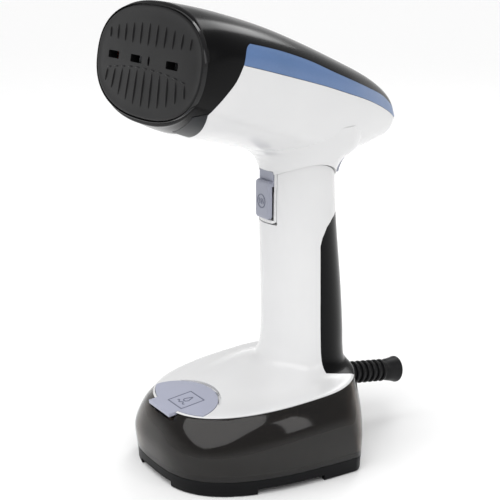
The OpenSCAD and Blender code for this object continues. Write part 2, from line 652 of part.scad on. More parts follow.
module thermostat() color("#d9d3c0") at_plate() translate([-24, back1 + lid_t, 0]) rotate([-90, 0, 0]) {
    cylinder(d = 15, h = 6);
    for (x = [-1, 1]) translate([x * 4 - 0.4, -2, 6]) cube([0.8, 4, 6]);
}
module thermal_fuse() color("#e9e6de") at_plate() translate([-10, back1 + lid_t, -13]) {
    translate([0, 2.5, 0]) rotate([0, 90, 0]) cylinder(d = 5, h = 18);
    translate([6, 0, -2]) cube([6, 3, 4]);
}
// Rises from the knuckle, bends over and runs square onto the middle of the chamber lid.
bend_r = 9;           // bend of the hose
lid_back = back1 + lid_t;
hose_run = (hinge_y - bend_r + bend_r * sin(plate_tilt) - plate_y) / cos(plate_tilt) - lid_back;
bend_z = plate_z - (lid_back + hose_run) * sin(plate_tilt) - bend_r * cos(plate_tilt);
bends = 8;
// One section of the hose at (y, z); a = 0 points up, 90 points to the front
function hose_ring(y, z, a, r) = [for (i = [0:15]) let (t = 22.5 * i)
    [r * cos(t), y + r * sin(t) * cos(a), z + r * sin(t) * sin(a)]];
function hose_rings(r, over) = concat(
    [hose_ring(hinge_y, hinge_z + flange_z + 3 - over, 0, r)],
    [for (i = [0:bends]) let (a = i * (90 - plate_tilt) / bends)
        hose_ring(hinge_y - bend_r + bend_r * cos(a), bend_z + bend_r * sin(a), a, r)],
    [hose_ring(plate_y + (lid_back - over) * cos(plate_tilt), plate_z - (lid_back - over) * sin(plate_tilt),
        90 - plate_tilt, r)]);
module head_hose() color("#d8d8d8") difference() {
    skin(hose_rings(hose_d / 2, 0));
    skin(hose_rings(nipple_d / 2 + 0.1, 1));
}

// ---- trigger ----
trigger_pin_d = 1.6;
pivot_y = -6.9 - grip_gain;
pivot_z = hinge_z + 20.8;
face_y = -9.8 - grip_gain;             // front of the tongue
slot_in = trigger_half + 0.4;          // half width of the trigger pocket
module on_trigger_axis(r, hx) translate([-hx, pivot_y, pivot_z]) rotate([0, 90, 0])
    cylinder(r = r, h = 2 * hx);
pad_z0 = pocket_low + 0.6;
pad_z1 = pad_z0 + pad_h;
spring_z = hinge_z + 12.4;
spring_d = 4;
lever_z = spring_z + spring_d / 2 + 0.6;
module trigger() color(lavender) difference() {
    union() {
        mid(trigger_half, face_y - pad_out, face_y + 0.1, pad_z0, pad_z1);
        mid(trigger_half, face_y - 0.4, face_y + 2.9, lever_z, pad_z1);
        mid(trigger_half, face_y + 0.6, face_y + 2.9, lever_z, pocket_high - 0.5);
        on_trigger_axis(1.9, trigger_half);
    }
    on_trigger_axis(trigger_pin_d / 2 + run_fit, 20);
}
module trigger_pin() color(metal) on_trigger_axis(trigger_pin_d / 2, tongue_half - 0.4);
bracket_y = -5.6 - grip_gain;
bracket_t = 1.4;
press = 0.9;          // room that the spring leaves for the trigger's travel
spring_l = bracket_y - face_y - press;
turns = 4;
wire = 0.5;
module trigger_spring() color(metal) translate([0, face_y + press, spring_z]) rotate([-90, 0, 0]) {
    rod([0, 0, 0], [0, 0, 0], spring_d - wire, spring_l, spring_d - 2 * wire);
    for (i = [0:turns]) translate([0, 0, wire / 2 + i * (spring_l - wire) / turns])
        rotate_extrude() translate([spring_d / 2 - wire / 2, 0]) circle(d = wire, $fn = 16);
}
switch_z = hinge_z + 14.8;
module switch_bracket() color("#55585c") {
    mid(slot_in, bracket_y, bracket_y + bracket_t, hinge_z + 10.9, switch_z);
    for (x = [-slot_in, slot_in - 1.1])
        block(x, x + 1.1, bracket_y, bracket_y + 3, switch_z - 0.6, hinge_z + 18);
}
module microswitch() color("#202124") {
    mid(5.6, bracket_y + 0.6, bracket_y + 5.2, switch_z, hinge_z + 19.4);
    rod([0, bracket_y - 0.6, hinge_z + 17], [-90, 0, 0], 1.6, 1.3);
}

// ---- release button ----
stem_z = (button_z0 + button_z1) / 2;
latch_half = 3.9;   // half width of the bolt and of the guide's leg
guide_y = 17.4;
guide_t = 1.6;
floor_top = hinge_z + 28.9;            // top of the neck's floor beside the guide
bolt_y = 24.2;
pressed_l = bolt_y - guide_y - guide_t - 2.2;    // spring with the button pressed
module release_button() color("#9a9cae") {
    intersection() {
        solid_plan(neck_rows, -0.8);
        mid(button_half, 29.8, 80, button_z0, button_z1);
    }
    rod([0, guide_y + 0.6, stem_z], [-90, 0, 0], 4, 12.4);
}
module release_bolt() color(metal) difference() {
    mid(latch_half, bolt_y, bolt_y + 2.4, hinge_z + 22, stem_z + 3);
    rod([0, 0, stem_z], [-90, 0, 0], 4, 60);
}
module release_guide() color("#9da0a5") difference() {
    union() {
        mid(8, guide_y, guide_y + guide_t, floor_top, floor_top + 2.4);
        mid(latch_half, guide_y, guide_y + guide_t, stem_z - 2.8, floor_top + 0.1);
    }
    rod([0, 0, stem_z], [-90, 0, 0], 4.3, 60);
}
module release_spring() color(metal)
    rod([0, guide_y + guide_t, stem_z], [-90, 0, 0], 6.6, pressed_l, 4.6);

base_plate();
rubber_feet();
base_screws();
water_tank();
tank_cover();
tank_seal();
handle_shell();
rear_cover();
filler_flap();
flap_pin();
filler_gasket();
cord_guard();
cord_clamp();
terminal_block();
water_pump();
pump_cradle();
suction_hose();
water_filter();
delivery_hose();
swivel_elbow();
control_board();
hinge_bushes();
hinge_pin();
fold_knuckle();
knuckle_screws();
head_shell();
stripe_left();
stripe_right();
top_cover();
front_bezel();
steam_plate();
plate_seal();
steam_chamber();
chamber_lid();
heating_element();
chamber_screws();
thermostat();
thermal_fuse();
head_hose();
trigger();
trigger_pin();
trigger_spring();
switch_bracket();
microswitch();
release_button();
release_bolt();
release_guide();
release_spring();
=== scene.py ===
# Garment steamer with a folding head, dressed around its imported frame.
# Shapes are worked in millimetres and scaled to metres when a piece is finished.
import json
import math

import bmesh
import bpy
from mathutils import Matrix, Vector


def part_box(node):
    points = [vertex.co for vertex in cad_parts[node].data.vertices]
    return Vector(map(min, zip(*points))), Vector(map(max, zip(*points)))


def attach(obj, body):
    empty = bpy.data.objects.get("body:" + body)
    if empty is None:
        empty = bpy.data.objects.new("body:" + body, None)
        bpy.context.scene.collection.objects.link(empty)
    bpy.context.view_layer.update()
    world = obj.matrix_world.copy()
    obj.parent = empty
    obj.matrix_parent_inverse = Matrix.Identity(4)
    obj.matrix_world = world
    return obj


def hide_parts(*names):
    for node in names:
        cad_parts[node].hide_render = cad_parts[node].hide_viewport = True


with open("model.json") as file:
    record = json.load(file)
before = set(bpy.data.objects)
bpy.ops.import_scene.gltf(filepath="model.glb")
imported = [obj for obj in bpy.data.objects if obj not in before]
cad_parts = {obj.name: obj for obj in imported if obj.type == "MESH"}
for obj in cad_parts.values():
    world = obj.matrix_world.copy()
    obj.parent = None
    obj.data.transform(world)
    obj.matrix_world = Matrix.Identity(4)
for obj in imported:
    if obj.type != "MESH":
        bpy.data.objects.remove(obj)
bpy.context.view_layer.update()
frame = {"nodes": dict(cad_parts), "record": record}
mm = 0.001
print("frame loaded,", len(frame["nodes"]), "nodes")


def hexColor(code):
    # sRGB hex to the linear values that the shader wants
    parts = [int(code[i:i + 2], 16) / 255 for i in (1, 3, 5)]
    return [p / 12.92 if p <= 0.04045 else ((p + 0.055) / 1.055) ** 2.4 for p in parts] + [1]


def addNode(tree, kind, settings=None, links=None):
    node = tree.nodes.new(kind)
    for key, value in (settings or {}).items():
        if isinstance(key, int) or key in node.inputs:
            node.inputs[key].default_value = value
        else:
            setattr(node, key, value)
    for key, source in (links or {}).items():
        tree.links.new(source, node.inputs[key])
    return node


def moulded(name, look):
    # One skin for everything that was moulded, cast, drawn or turned: a grain at its real size
    # in the bump, a slow drift in the colour and a patchy sheen in the roughness.
    material = bpy.data.materials.new(name)
    material.use_nodes = True
    tree = material.node_tree
    shader = tree.nodes["Principled BSDF"]
    shader.inputs["Metallic"].default_value = look.get("metallic", 0)
    shader.inputs["IOR"].default_value = look.get("ior", 1.5)
    shader.inputs["Coat Weight"].default_value = look.get("coat", 0)
    shader.inputs["Coat Roughness"].default_value = look.get("coatRoughness", 0.03)
    shader.inputs["Transmission Weight"].default_value = look.get("transmission", 0)
    shader.inputs["Sheen Weight"].default_value = look.get("sheen", 0)
    shader.inputs["Specular IOR Level"].default_value = look.get("specular", 0.5)
    place = addNode(tree, "ShaderNodeTexCoord")
    stretch = addNode(tree, "ShaderNodeMapping", {"Scale": look.get("stretch", (1, 1, 1))},
                      {"Vector": place.outputs["Object"]})
    grain = addNode(tree, "ShaderNodeTexNoise",
                    {"Scale": 1 / (look["grain"] * mm), "Detail": 3, "Roughness": 0.6},
                    {"Vector": stretch.outputs["Vector"]})
    drift = addNode(tree, "ShaderNodeTexNoise", {"Scale": 1 / (look.get("drift", 24) * mm), "Detail": 2},
                    {"Vector": place.outputs["Object"]})
    # sockets 6 and 7 are the mix's two colours, and output 2 is the mixed one
    mix = addNode(tree, "ShaderNodeMix",
                  {"data_type": "RGBA", 6: hexColor(look["color"]), 7: hexColor(look["shade"])},
                  {"Factor": drift.outputs["Fac"]})
    colorOut = mix.outputs[2]
    if "speck" in look:
        # flecks in a coating or grit in a casting
        cells = addNode(tree, "ShaderNodeTexVoronoi", {"Scale": 1 / (look["speckSize"] * mm)},
                        {"Vector": stretch.outputs["Vector"]})
        spots = addNode(tree, "ShaderNodeValToRGB", None, {"Fac": cells.outputs["Distance"]})
        for stop, position, value in zip(spots.color_ramp.elements, (0.12, 0.3), (1, 0)):
            stop.position = position
            stop.color = (value, value, value, 1)
        flecked = addNode(tree, "ShaderNodeMix", {"data_type": "RGBA", 7: hexColor(look["speck"])},
                          {"Factor": spots.outputs["Color"], 6: colorOut})
        colorOut = flecked.outputs[2]
    tree.links.new(colorOut, shader.inputs["Base Color"])
    low, high = look["roughness"]
    sheen = addNode(tree, "ShaderNodeMapRange", {"To Min": low, "To Max": high},
                    {"Value": drift.outputs["Fac"]})
    tree.links.new(sheen.outputs["Result"], shader.inputs["Roughness"])
    bump = addNode(tree, "ShaderNodeBump", {"Strength": look.get("bump", 0.2), "Distance": 0.05 * mm},
                   {"Height": grain.outputs["Fac"]})
    tree.links.new(bump.outputs["Normal"], shader.inputs["Normal"])
    return material


# Each look names the real stuff; roughness is the range over the piece, sizes are millimetres.
looks = {
    # glossy ABS, polished mould: clean bright reflections, barely any grain
    "white_gloss": {"title": "glossyWhiteAbs", "color": "#E1E1E1", "shade": "#DCDCDD",
                    "roughness": (0.17, 0.24), "grain": 1.2, "bump": 0.02, "coat": 0.2},
    # piano-black ABS: deep black under a hard clear gloss
    "black_gloss": {"title": "pianoBlackAbs", "color": "#09090A", "shade": "#070708",
                    "roughness": (0.16, 0.22), "grain": 1.0, "bump": 0.02, "specular": 0.12},
    # spark-eroded polypropylene: soft wide highlights over a fine grain
    "black_satin": {"title": "satinBlackPolypropylene", "color": "#0F0F11", "shade": "#0B0B0D",
                    "roughness": (0.38, 0.48), "grain": 0.5, "bump": 0.25, "specular": 0.12},
    # lavender ABS of the filler flap, matt mould
    "lavender_flap": {"title": "satinLavenderAbs", "color": "#A9ACBD", "shade": "#A1A4B5",
                      "roughness": (0.34, 0.42), "grain": 0.5, "bump": 0.12},
    # greyer lavender of the trigger and the rear button
    "lavender_trigger": {"title": "satinGreyLavenderAbs", "color": "#9EA1AF", "shade": "#9396A4",
                         "roughness": (0.32, 0.4), "grain": 0.5, "bump": 0.15},
    # pearl-lacquered blue ABS: a satin coat with a faint fleck
    "blue_stripe": {"title": "satinBlueLacqueredAbs", "color": "#5B79A8", "shade": "#4F6E9A",
                    "roughness": (0.28, 0.36), "grain": 0.4, "bump": 0.08, "coat": 0.25,
                    "speck": "#6280AE", "speckSize": 0.7},
    # ceramic-filled coating on the aluminium steam plate: charcoal, satin, faintly flecked
    "plate_coating": {"title": "charcoalCeramicCoating", "color": "#121213", "shade": "#0E0E0F",
                      "roughness": (0.34, 0.44), "grain": 0.35, "bump": 0.2, "specular": 0.2,
                      "speck": "#1C1C1E", "speckSize": 0.6},
    # polished nylon ring: dark with a sharp, fairly bright edge light
    "bezel_gloss": {"title": "glossyBlackNylon", "color": "#0D0D0F", "shade": "#09090B",
                    "roughness": (0.1, 0.16), "grain": 1.0, "bump": 0.02, "specular": 0.4},
    # flexible PVC of the bend relief: dull black with a greasy sheen
    "guard_rubber": {"title": "softBlackPvc", "color": "#0E0E10", "shade": "#0A0A0C",
                     "roughness": (0.34, 0.46), "grain": 0.35, "bump": 0.2, "specular": 0.25},
    # ground rubber: dull grey-black with a dusty sheen
    "foot_rubber": {"title": "mattBlackRubber", "color": "#1B1B1C", "shade": "#141415",
                    "roughness": (0.62, 0.74), "grain": 0.4, "bump": 0.4, "sheen": 0.1},
    # cast silicones: waxy, with blurred highlights
    "red_silicone": {"title": "redSilicone", "color": "#B0462E", "shade": "#993A26",
                     "roughness": (0.4, 0.5), "grain": 0.6, "bump": 0.15, "sheen": 0.1},
    "grey_silicone": {"title": "greySilicone", "color": "#7E8086", "shade": "#707278",
                      "roughness": (0.42, 0.52), "grain": 0.6, "bump": 0.15, "sheen": 0.1},
    # thin hose wall: milky and a little see-through
    "clear_silicone": {"title": "milkySiliconeHose", "color": "#DCDEE0", "shade": "#CFD2D5",
                       "roughness": (0.22, 0.3), "grain": 0.8, "bump": 0.1, "transmission": 0.25},
    # glass-filled nylon: dry and grainy, with pale fibre flecks
    "grey_nylon": {"title": "glassFilledGreyNylon", "color": "#5A5D61", "shade": "#4E5155",
                   "roughness": (0.45, 0.58), "grain": 0.3, "bump": 0.3, "speck": "#686B6F",
                   "speckSize": 0.5},
    # drawn can: soft metal shine, streaked one way
    "pump_housing": {"title": "zincPlatedPumpCan", "color": "#B9BCC0", "shade": "#A6A9AE",
                     "roughness": (0.28, 0.42), "grain": 0.8, "bump": 0.1, "metallic": 1,
                     "stretch": (1, 1, 0.15)},
    # turned and drawn steel: streaks along the piece
    "steel": {"title": "turnedSteel", "color": "#BFC2C6", "shade": "#A9ACB1", "roughness": (0.22, 0.34),
              "grain": 0.25, "bump": 0.15, "metallic": 1, "stretch": (0.2, 1, 1)},
    "brass": {"title": "turnedBrass", "color": "#C9A35B", "shade": "#B08C49", "roughness": (0.26, 0.38),
              "grain": 0.25, "bump": 0.15, "metallic": 1, "stretch": (0.2, 1, 1)},
    # die-cast aluminium: sandy skin with dull patches
    "cast_aluminium": {"title": "dieCastAluminium", "color": "#B4B6B9", "shade": "#9B9DA1",
                       "roughness": (0.42, 0.6), "grain": 0.5, "bump": 0.5, "metallic": 1,
                       "speck": "#8D8F93", "speckSize": 0.9},
    # steel tube that has been hot: brown and violet patches
    "element_sheath": {"title": "heatTintedSheath", "color": "#8A7A68", "shade": "#5F5A60",
                       "roughness": (0.3, 0.45), "grain": 0.4, "bump": 0.2, "metallic": 1, "drift": 9},
    # solder mask over copper: green gloss with pale pads
    "green_board": {"title": "solderMaskedBoard", "color": "#2C6B45", "shade": "#245A3A",
                    "roughness": (0.3, 0.4), "grain": 0.4, "bump": 0.2, "speck": "#B9B48A", "speckSize": 1.6},
    # urea moulding: creamy, with a soft gloss
    "cream_plastic": {"title": "creamUrea", "color": "#E3DCC8", "shade": "#D6CEB8",
                      "roughness": (0.35, 0.45), "grain": 0.4, "bump": 0.15},
    # switch body: flat dark grey
    "switch_black": {"title": "mattBlackPbt", "color": "#1D1E20", "shade": "#151618",
                     "roughness": (0.5, 0.6), "grain": 0.4, "bump": 0.3},
    # woven mesh: dull green-grey with dark holes
    "filter_mesh": {"title": "wovenNylonMesh", "color": "#4D5A4F", "shade": "#3D4940",
                    "roughness": (0.5, 0.6), "grain": 0.25, "bump": 0.6, "speck": "#28302A",
                    "speckSize": 0.45},
    # smoked polycarbonate: brown-black, clear, shows what is behind it only where it is lit
    "smoke_tank": {"title": "smokedPolycarbonate", "color": "#5C544C", "shade": "#554D46",
                   "roughness": (0.05, 0.09), "grain": 2.0, "bump": 0.01, "transmission": 0.97,
                   "ior": 1.45, "specular": 0.08},
}
materials = {slot: moulded(look["title"], look) for slot, look in looks.items()}
# pad-printed ink: flat grey that covers the plastic's sheen
inkDark = moulded("printedGreyInk", {"color": "#6B6F80", "shade": "#636778", "roughness": (0.4, 0.5),
                                     "grain": 0.3, "bump": 0.1})
# the catches: dark blue-grey, satin, darkened further with painted shade of the recess they sit in
catchPlasticAndShade = moulded("darkBlueGreyAbsAndPaintedShade", {"color": "#15181C", "shade": "#101317", "roughness": (0.3, 0.4),
                                     "grain": 0.5, "bump": 0.1, "specular": 0.2})

slotOf = {part["node"]: part["material_slot"] for part in frame["record"]["subparts"]}
for nodeName, cadObject in frame["nodes"].items():
    cadObject.data.materials.clear()
    cadObject.data.materials.append(materials[slotOf[nodeName]])
print("materials made,", len(materials))


# sizes that several pieces share; a boss is (in from the side, y)
base = {"half": 56.5, "front": 83.3, "rear": 35.6, "seamZ": 9, "tankH": 34.8, "slope": 0.075,
        "tailHalf": 23, "tailY": 17.7, "bosses": [(17, -27), (25.5, 8.7)]}
grip = {"half": 21.5, "hingeY": 8.6, "hingeZ": 140, "wall": 2.2, "seamR": 27.4, "gap": 0.5,
        "tongue": 8.5, "tongueLow": 5.8, "side": 0.4, "cheek": 2.2}
plate = {"half": 56.5, "rise": 28.3, "y": -81.1, "z": 226, "tilt": math.radians(9.7), "thick": 5}
rimZ = base["seamZ"] + base["tankH"] + 1
rearY = base["rear"] + 4
hingeY, hingeZ, wall = grip["hingeY"], grip["hingeZ"], grip["wall"]
slotHalf = grip["tongue"] + grip["side"]
tongueZ = hingeZ - grip["tongueLow"]
sides = 144     # corners of a moulded section
steps = 8       # sections between two stations
far = 90        # beyond every shell, for blocks that cut right through

half, front, rear, tankH = base["half"], base["front"], base["rear"], base["tankH"]
seamZ, slope = base["seamZ"], base["slope"]
bosses = [(sign * (half - inward), y) for inward, y in base["bosses"] for sign in (-1, 1)]
# each row: z, half width, widest y, front y, rear y, front power, rear power, slope
baseRows = [
    [seamZ, half - 0.4, 14.5, -front + 1, rear - 1, 2.95, 1.8, 0],
    [seamZ + 0.31 * tankH, half + 0.2, 12.7, -front, rear + 1, 2.9, 1.85, 0],
    [seamZ + 0.6 * tankH, half - 1, 8.7, -front + 1.5, rear + 2.5, 2.72, 1.95, 0.03],
    [seamZ + 0.86 * tankH, half - 5.2, 3.7, -front + 4.5, rear + 3.6, 2.6, 2.05, 0.06],
    [rimZ, half - 10.5, 0.5, -front + 9, rear + 4, 2.5, 2.15, slope]]
footR = grip["half"] + 2
standRows = [
    [rimZ, half - 10.6, 0.5, -front + 9.2, rearY, 2.5, 2.15, slope],
    [rimZ + 1.2, half - 12, 1.2, -front + 10.8, rearY, 2.5, 2.15, slope],
    [rimZ + 3, half - 23, 6.7, -45.3, rearY - 0.3, 2.3, 2.1, slope],
    [rimZ + 7, footR + 3.6, 13.2, -16.8, rearY - 0.5, 2, 2, 0.02],
    [rimZ + 14, footR + 1, 14.9, -9.7, rearY - 0.7, 2, 2, 0],
    [rimZ + 28, footR, 15.3, -8.3, rearY - 1, 2, 2, 0],
    [hingeZ - 43, grip["half"] + 1.2, 14.1, -8.8, 36.9, 2, 2, 0],
    [hingeZ - 4, grip["half"], 11.6, -9.9, 33.1, 2, 2, 0],
    [hingeZ + 28, grip["half"] - 0.9, 11.1, -9.5, 31.7, 2, 2, 0]]
# the same, worked from the hinge's height and the grip's half width
neckRows = [[hingeZ + z, grip["half"] + w, mid, near, back, 2, 2.1, 0] for z, w, mid, near, back in (
    (4, -0.2, 11.4, -9.7, 32.5), (15, -0.4, 11.2, -9.7, 31.9), (20, -0.3, 11.3, -9.9, 32.2),
    (24, 0.3, 11.8, -10.6, 33.6), (27, 1.1, 12.4, -11.9, 35.8), (29.5, 1.9, 13, -13.4, 39),
    (31.5, 2.7, 13.5, -15.3, 44), (34, 3.7, 14, -18.5, 47.5), (37, 5, 14.5, -25, 49),
    (40, 6.4, 15, -29, 49), (44, 8.2, 15.5, -33, 47.5), (48, 9.6, 16, -36, 45))]
# each row: y, top z, side z, bottom z, half width, lean
headRows = [
    [-78.6, 255.8, 226, 195, plate["half"] + 0.8, math.tan(plate["tilt"])],
    [-65.3, 254.1, 228, 188, plate["half"], 0.06],
    [-47.3, 250.2, 225.5, 183, plate["half"] - 3, 0],
    [-22.3, 242.7, 219, 176.5, plate["half"] - 9, 0],
    [2.7, 233, 211.5, 172.5, plate["half"] - 16, 0],
    [27.7, 222.3, 204, 170.8, plate["half"] - 25.5, 0],
    [47.7, 213.4, 198, 171, 20.5, 0],
    [62.7, 205, 192.5, 174, 11.5, 0],
    [72.7, 196.5, 188, 177.5, 5, 0],
    [78.2, 186.3, 185.5, 184.7, 0.6, 0]]
# the colour splits in side view, as (y, z)
lowLine = [[-57.6, 228.2], [-40.1, 223.7], [-3, 213.7], [18.9, 207.1], [38.8, 201.1], [54.4, 195.6],
           [68.2, 189.9], [84, 181.5]]
highLine = [[-50.8, 237.6], [-40.9, 235.4], [-27.6, 232], [-9.3, 226.2], [10, 218.7], [33.4, 210.2],
            [56.1, 202], [65.7, 197.4], [84, 186]]
frontLine = [[-57.6, 228.2], [-61.8, 220.8], [-67.2, 214], [-71.7, 207.5], [-75.2, 200], [-74.8, 194],
             [-74.3, 188], [-74, 170]]
stripeNose = [[-57.6, 228.2], [-55.3, 234.1], [-53.3, 236.6], [-50.8, 237.6]]


def spline(rows, u):
    last = len(rows) - 1
    i = min(int(u), last - 1)
    t = u - i
    a, b, c, d = (rows[max(0, min(k, last))] for k in (i - 1, i, i + 1, i + 2))
    return [0.5 * (2 * q + (r - p) * t + (2 * p - 5 * q + 4 * r - s) * t ** 2
                   + (3 * q - p - 3 * r + s) * t ** 3) for p, q, r, s in zip(a, b, c, d)]


def between(rows, start=0, end=None, count=steps):
    end = len(rows) - 1 if end is None else end
    return [spline(rows, i / count) for i in range(start * count, end * count + 1)]


def signed(value, power):
    return math.copysign(abs(value) ** power, value)


def planRing(row, inset=0, lift=0):
    z, w, mid, near, back, frontPower, rearPower, rise = row
    points = []
    for i in range(sides):
        a = 2 * math.pi * i / sides
        isFront = math.sin(a) < 0
        power = frontPower if isFront else rearPower
        reach = (mid - near if isFront else back - mid) - inset
        y = mid + reach * signed(math.sin(a), 2 / power)
        points.append(((w - inset) * signed(math.cos(a), 2 / power), y, z + rise * y + lift))
    return points


def headRing(row, inset=0, shift=0):
    y, top, side, low, w, lean = row
    power, least = 2 / 2.3, 0.2
    points = []
    for i in range(sides):
        a = 2 * math.pi * i / sides
        h = max((side - low if math.sin(a) < 0 else top - side) - inset, least)
        v = h * signed(math.sin(a), power)
        x = max(w - inset, least) * signed(math.cos(a), power)
        points.append((x, y + lean * v + shift, side + v))
    return points


def oval(inset, y):
    # an oval of the steam plate, inset from its edge and y behind its face
    power = 2 / 2.36
    points = []
    for i in range(sides):
        a = 2 * math.pi * i / sides
        points.append(onPlate((plate["half"] - inset) * signed(math.cos(a), power), y,
                              (plate["rise"] - inset) * signed(math.sin(a), power)))
    return points


def onPlate(x, y, z):
    c, s = math.cos(plate["tilt"]), math.sin(plate["tilt"])
    return (x, plate["y"] + y * c + z * s, plate["z"] - y * s + z * c)


def meshObject(name, points, faces):
    mesh = bpy.data.meshes.new(name)
    mesh.from_pydata(points, [], faces)
    built = bmesh.new()
    built.from_mesh(mesh)
    bmesh.ops.recalc_face_normals(built, faces=built.faces)
    built.to_mesh(mesh)
    built.free()
    obj = bpy.data.objects.new(name, mesh)
    bpy.context.scene.collection.objects.link(obj)
    return obj


def loft(name, rings):
    n = len(rings[0])
    faces = [(j * n + i, j * n + (i + 1) % n, (j + 1) * n + (i + 1) % n, (j + 1) * n + i)
             for j in range(len(rings) - 1) for i in range(n)]
    faces += [tuple(range(n - 1, -1, -1)), tuple(range((len(rings) - 1) * n, len(rings) * n))]
    return meshObject(name, [p for ring in rings for p in ring], faces)


def block(x0, x1, y0, y1, z0, z1):
    return loft("block", [[(x0, y0, z), (x1, y0, z), (x1, y1, z), (x0, y1, z)] for z in (z0, z1)])


def middle(hx, y0, y1, z0, z1):
    return block(-hx, hx, y0, y1, z0, z1)


def bar(start, end, radius, corners=64):
    # round bar between two points
    a, b = Vector(start), Vector(end)
    turn = (b - a).to_track_quat("Z", "Y").to_matrix()
    ring = [turn @ Vector((radius * math.cos(t), radius * math.sin(t), 0))
            for t in (2 * math.pi * i / corners for i in range(corners))]
    return loft("bar", [[tuple(a + p) for p in ring], [tuple(b + p) for p in ring]])


def onHinge(radius, x0=-80, x1=80, corners=192):
    return bar((x0, hingeY, hingeZ), (x1, hingeY, hingeZ), radius, corners)


def across(outline, hx=80):
    # a side-view outline (y, z) through the whole width
    return loft("across", [[(x, y, z) for y, z in outline] for x in (-hx, hx)])


def upright(outline, z0, z1):
    return loft("upright", [[(x, y, z) for x, y in outline] for z in (z0, z1)])


def bake(obj):
    # the object's mesh with its modifiers in it
    graph = bpy.context.evaluated_depsgraph_get()
    mesh = bpy.data.meshes.new_from_object(obj.evaluated_get(graph))
    obj.modifiers.clear()
    old = obj.data
    obj.data = mesh
    bpy.data.meshes.remove(old)
    return obj


def combine(obj, tool, operation):
    modifier = obj.modifiers.new("combine", "BOOLEAN")
    modifier.operation = operation
    modifier.solver = "MANIFOLD"
    modifier.object = tool
    bake(obj)
    bpy.data.objects.remove(tool)
    return obj


def cut(obj, *tools):
    for tool in tools:
        combine(obj, tool, "DIFFERENCE")
    return obj


def join(obj, *tools):
    for tool in tools:
        combine(obj, tool, "UNION")
    return obj


def keep(obj, tool):
    return combine(obj, tool, "INTERSECT")


def copyOf(obj):
    twin = obj.copy()
    twin.data = obj.data.copy()
    bpy.context.scene.collection.objects.link(twin)
    return twin


weld = 0.002    # corners this close are one


def finishPiece(obj, name, body, slotName, nodes=(), angle=30, edgeRound=0, material=None):
    obj.name = name
    obj.data.name = name
    built = bmesh.new()
    built.from_mesh(obj.data)
    bmesh.ops.remove_doubles(built, verts=built.verts, dist=weld)
    bmesh.ops.dissolve_degenerate(built, edges=built.edges, dist=weld)
    built.to_mesh(obj.data)
    built.free()
    obj.data.transform(Matrix.Scale(mm, 4))
    obj.data.shade_smooth()
    if edgeRound:
        edges = obj.modifiers.new("edges", "BEVEL")
        edges.width = edgeRound * mm
        edges.segments = 3
        edges.limit_method = "ANGLE"
        edges.angle_limit = math.radians(40)
        edges.harden_normals = False
        bake(obj)
        obj.data.shade_smooth()
    obj.data.set_sharp_from_angle(angle=math.radians(angle))
    obj.data.materials.clear()
    obj.data.materials.append(material or materials[slotName])
    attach(obj, body)
    if nodes:
        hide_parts(*nodes)
    print("piece", name, len(obj.data.polygons))
    return obj


def solidStand(inset=0):
    return loft("stand", [planRing(row, inset) for row in between(standRows)])


def solidNeck(inset=0):
    return loft("neck", [planRing(row, inset) for row in between(neckRows)])


def solidHead():
    rows = between(headRows)
    # inset and shift of the rings that round the front edge
    nose = [headRing(rows[0], inset, shift) for inset, shift in ((1.1, -1.2), (0.45, -1.05), (0.1, -0.6))]
    return loft("head", nose + [headRing(row) for row in rows])


def headSpace(inset):
    # the hollow of the head, open at the front
    rows = between(headRows, 0, 8)
    nose = [(x, y - 12, z) for x, y, z in headRing(rows[0], inset)]
    return loft("space", [nose] + [headRing(row, inset) for row in rows])


def smoothLine(points, count=6):
    return between(points, count=count)


def shifted(points, dy=0, dz=0):
    return [(y + dy, z + dz) for y, z in points]


def belowStripe(gap):
    # everything under the stripe and behind the front split
    outline = (shifted(list(reversed(smoothLine(frontLine))), gap)
               + shifted(smoothLine(lowLine)[1:], 0, -gap))
    return across(outline + [(100, 140), (-74, 140)])


def stripeBand(gap):
    outline = (shifted(smoothLine(stripeNose, 4)[:-1], gap) + shifted(smoothLine(highLine), 0, -gap)
               + shifted(list(reversed(smoothLine(lowLine)[1:])), 0, gap))
    return across(outline)


# the curve is (y, distance below the hinge)
rearSplit = {"y": 12.2, "flare": 14, "footHalf": 34,
             "curve": [(12.2, 18), (13.6, 13.5), (17, 8), (22, 4), (27, 1.6)]}


def rearRegion(gap):
    # the dark rear of the handle: a side view that curves back at the top, and a wider foot
    split, flareZ = rearSplit, rimZ + rearSplit["flare"]
    seamLine = [(split["y"] + gap, flareZ - 1)] + [(y + gap, hingeZ - down) for y, down in split["curve"]]
    side = across(seamLine + [(32 + gap, hingeZ - gap), (far, hingeZ - gap), (far, flareZ - 1)])
    foot = [(footR + 6, split["y"] + gap), (split["footHalf"] - gap, 28.7), (split["footHalf"] - gap, far)]
    flare = upright([(-x, y) for x, y in foot] + foot[::-1], rimZ - 20, flareZ)
    return join(side, flare)


# the filler flap lies on a plane that slopes with the foot of the handle
flap = {"half": 26.5, "widen": 2.5, "thick": 2, "tab": 11.5, "tabFrom": 4.5, "tabTo": 24, "mid": -67.3,
        "depth": 21, "slope": math.atan(0.125), "lift": 4.8, "gap": 0.3, "axisIn": 0.7,
        "earX": (7.3, 10.2), "earY": (-1.6, 0.4), "fillY": -61.3, "fillD": 15, "pinR": 0.95}
flapPlane = Matrix.Translation((0, 0, rimZ + flap["lift"])) @ Matrix.Rotation(flap["slope"], 4, "X")
flapAxis = flap["mid"] + flap["depth"] - flap["axisIn"]


def placed(obj, matrix):
    obj.data.transform(matrix)
    return obj


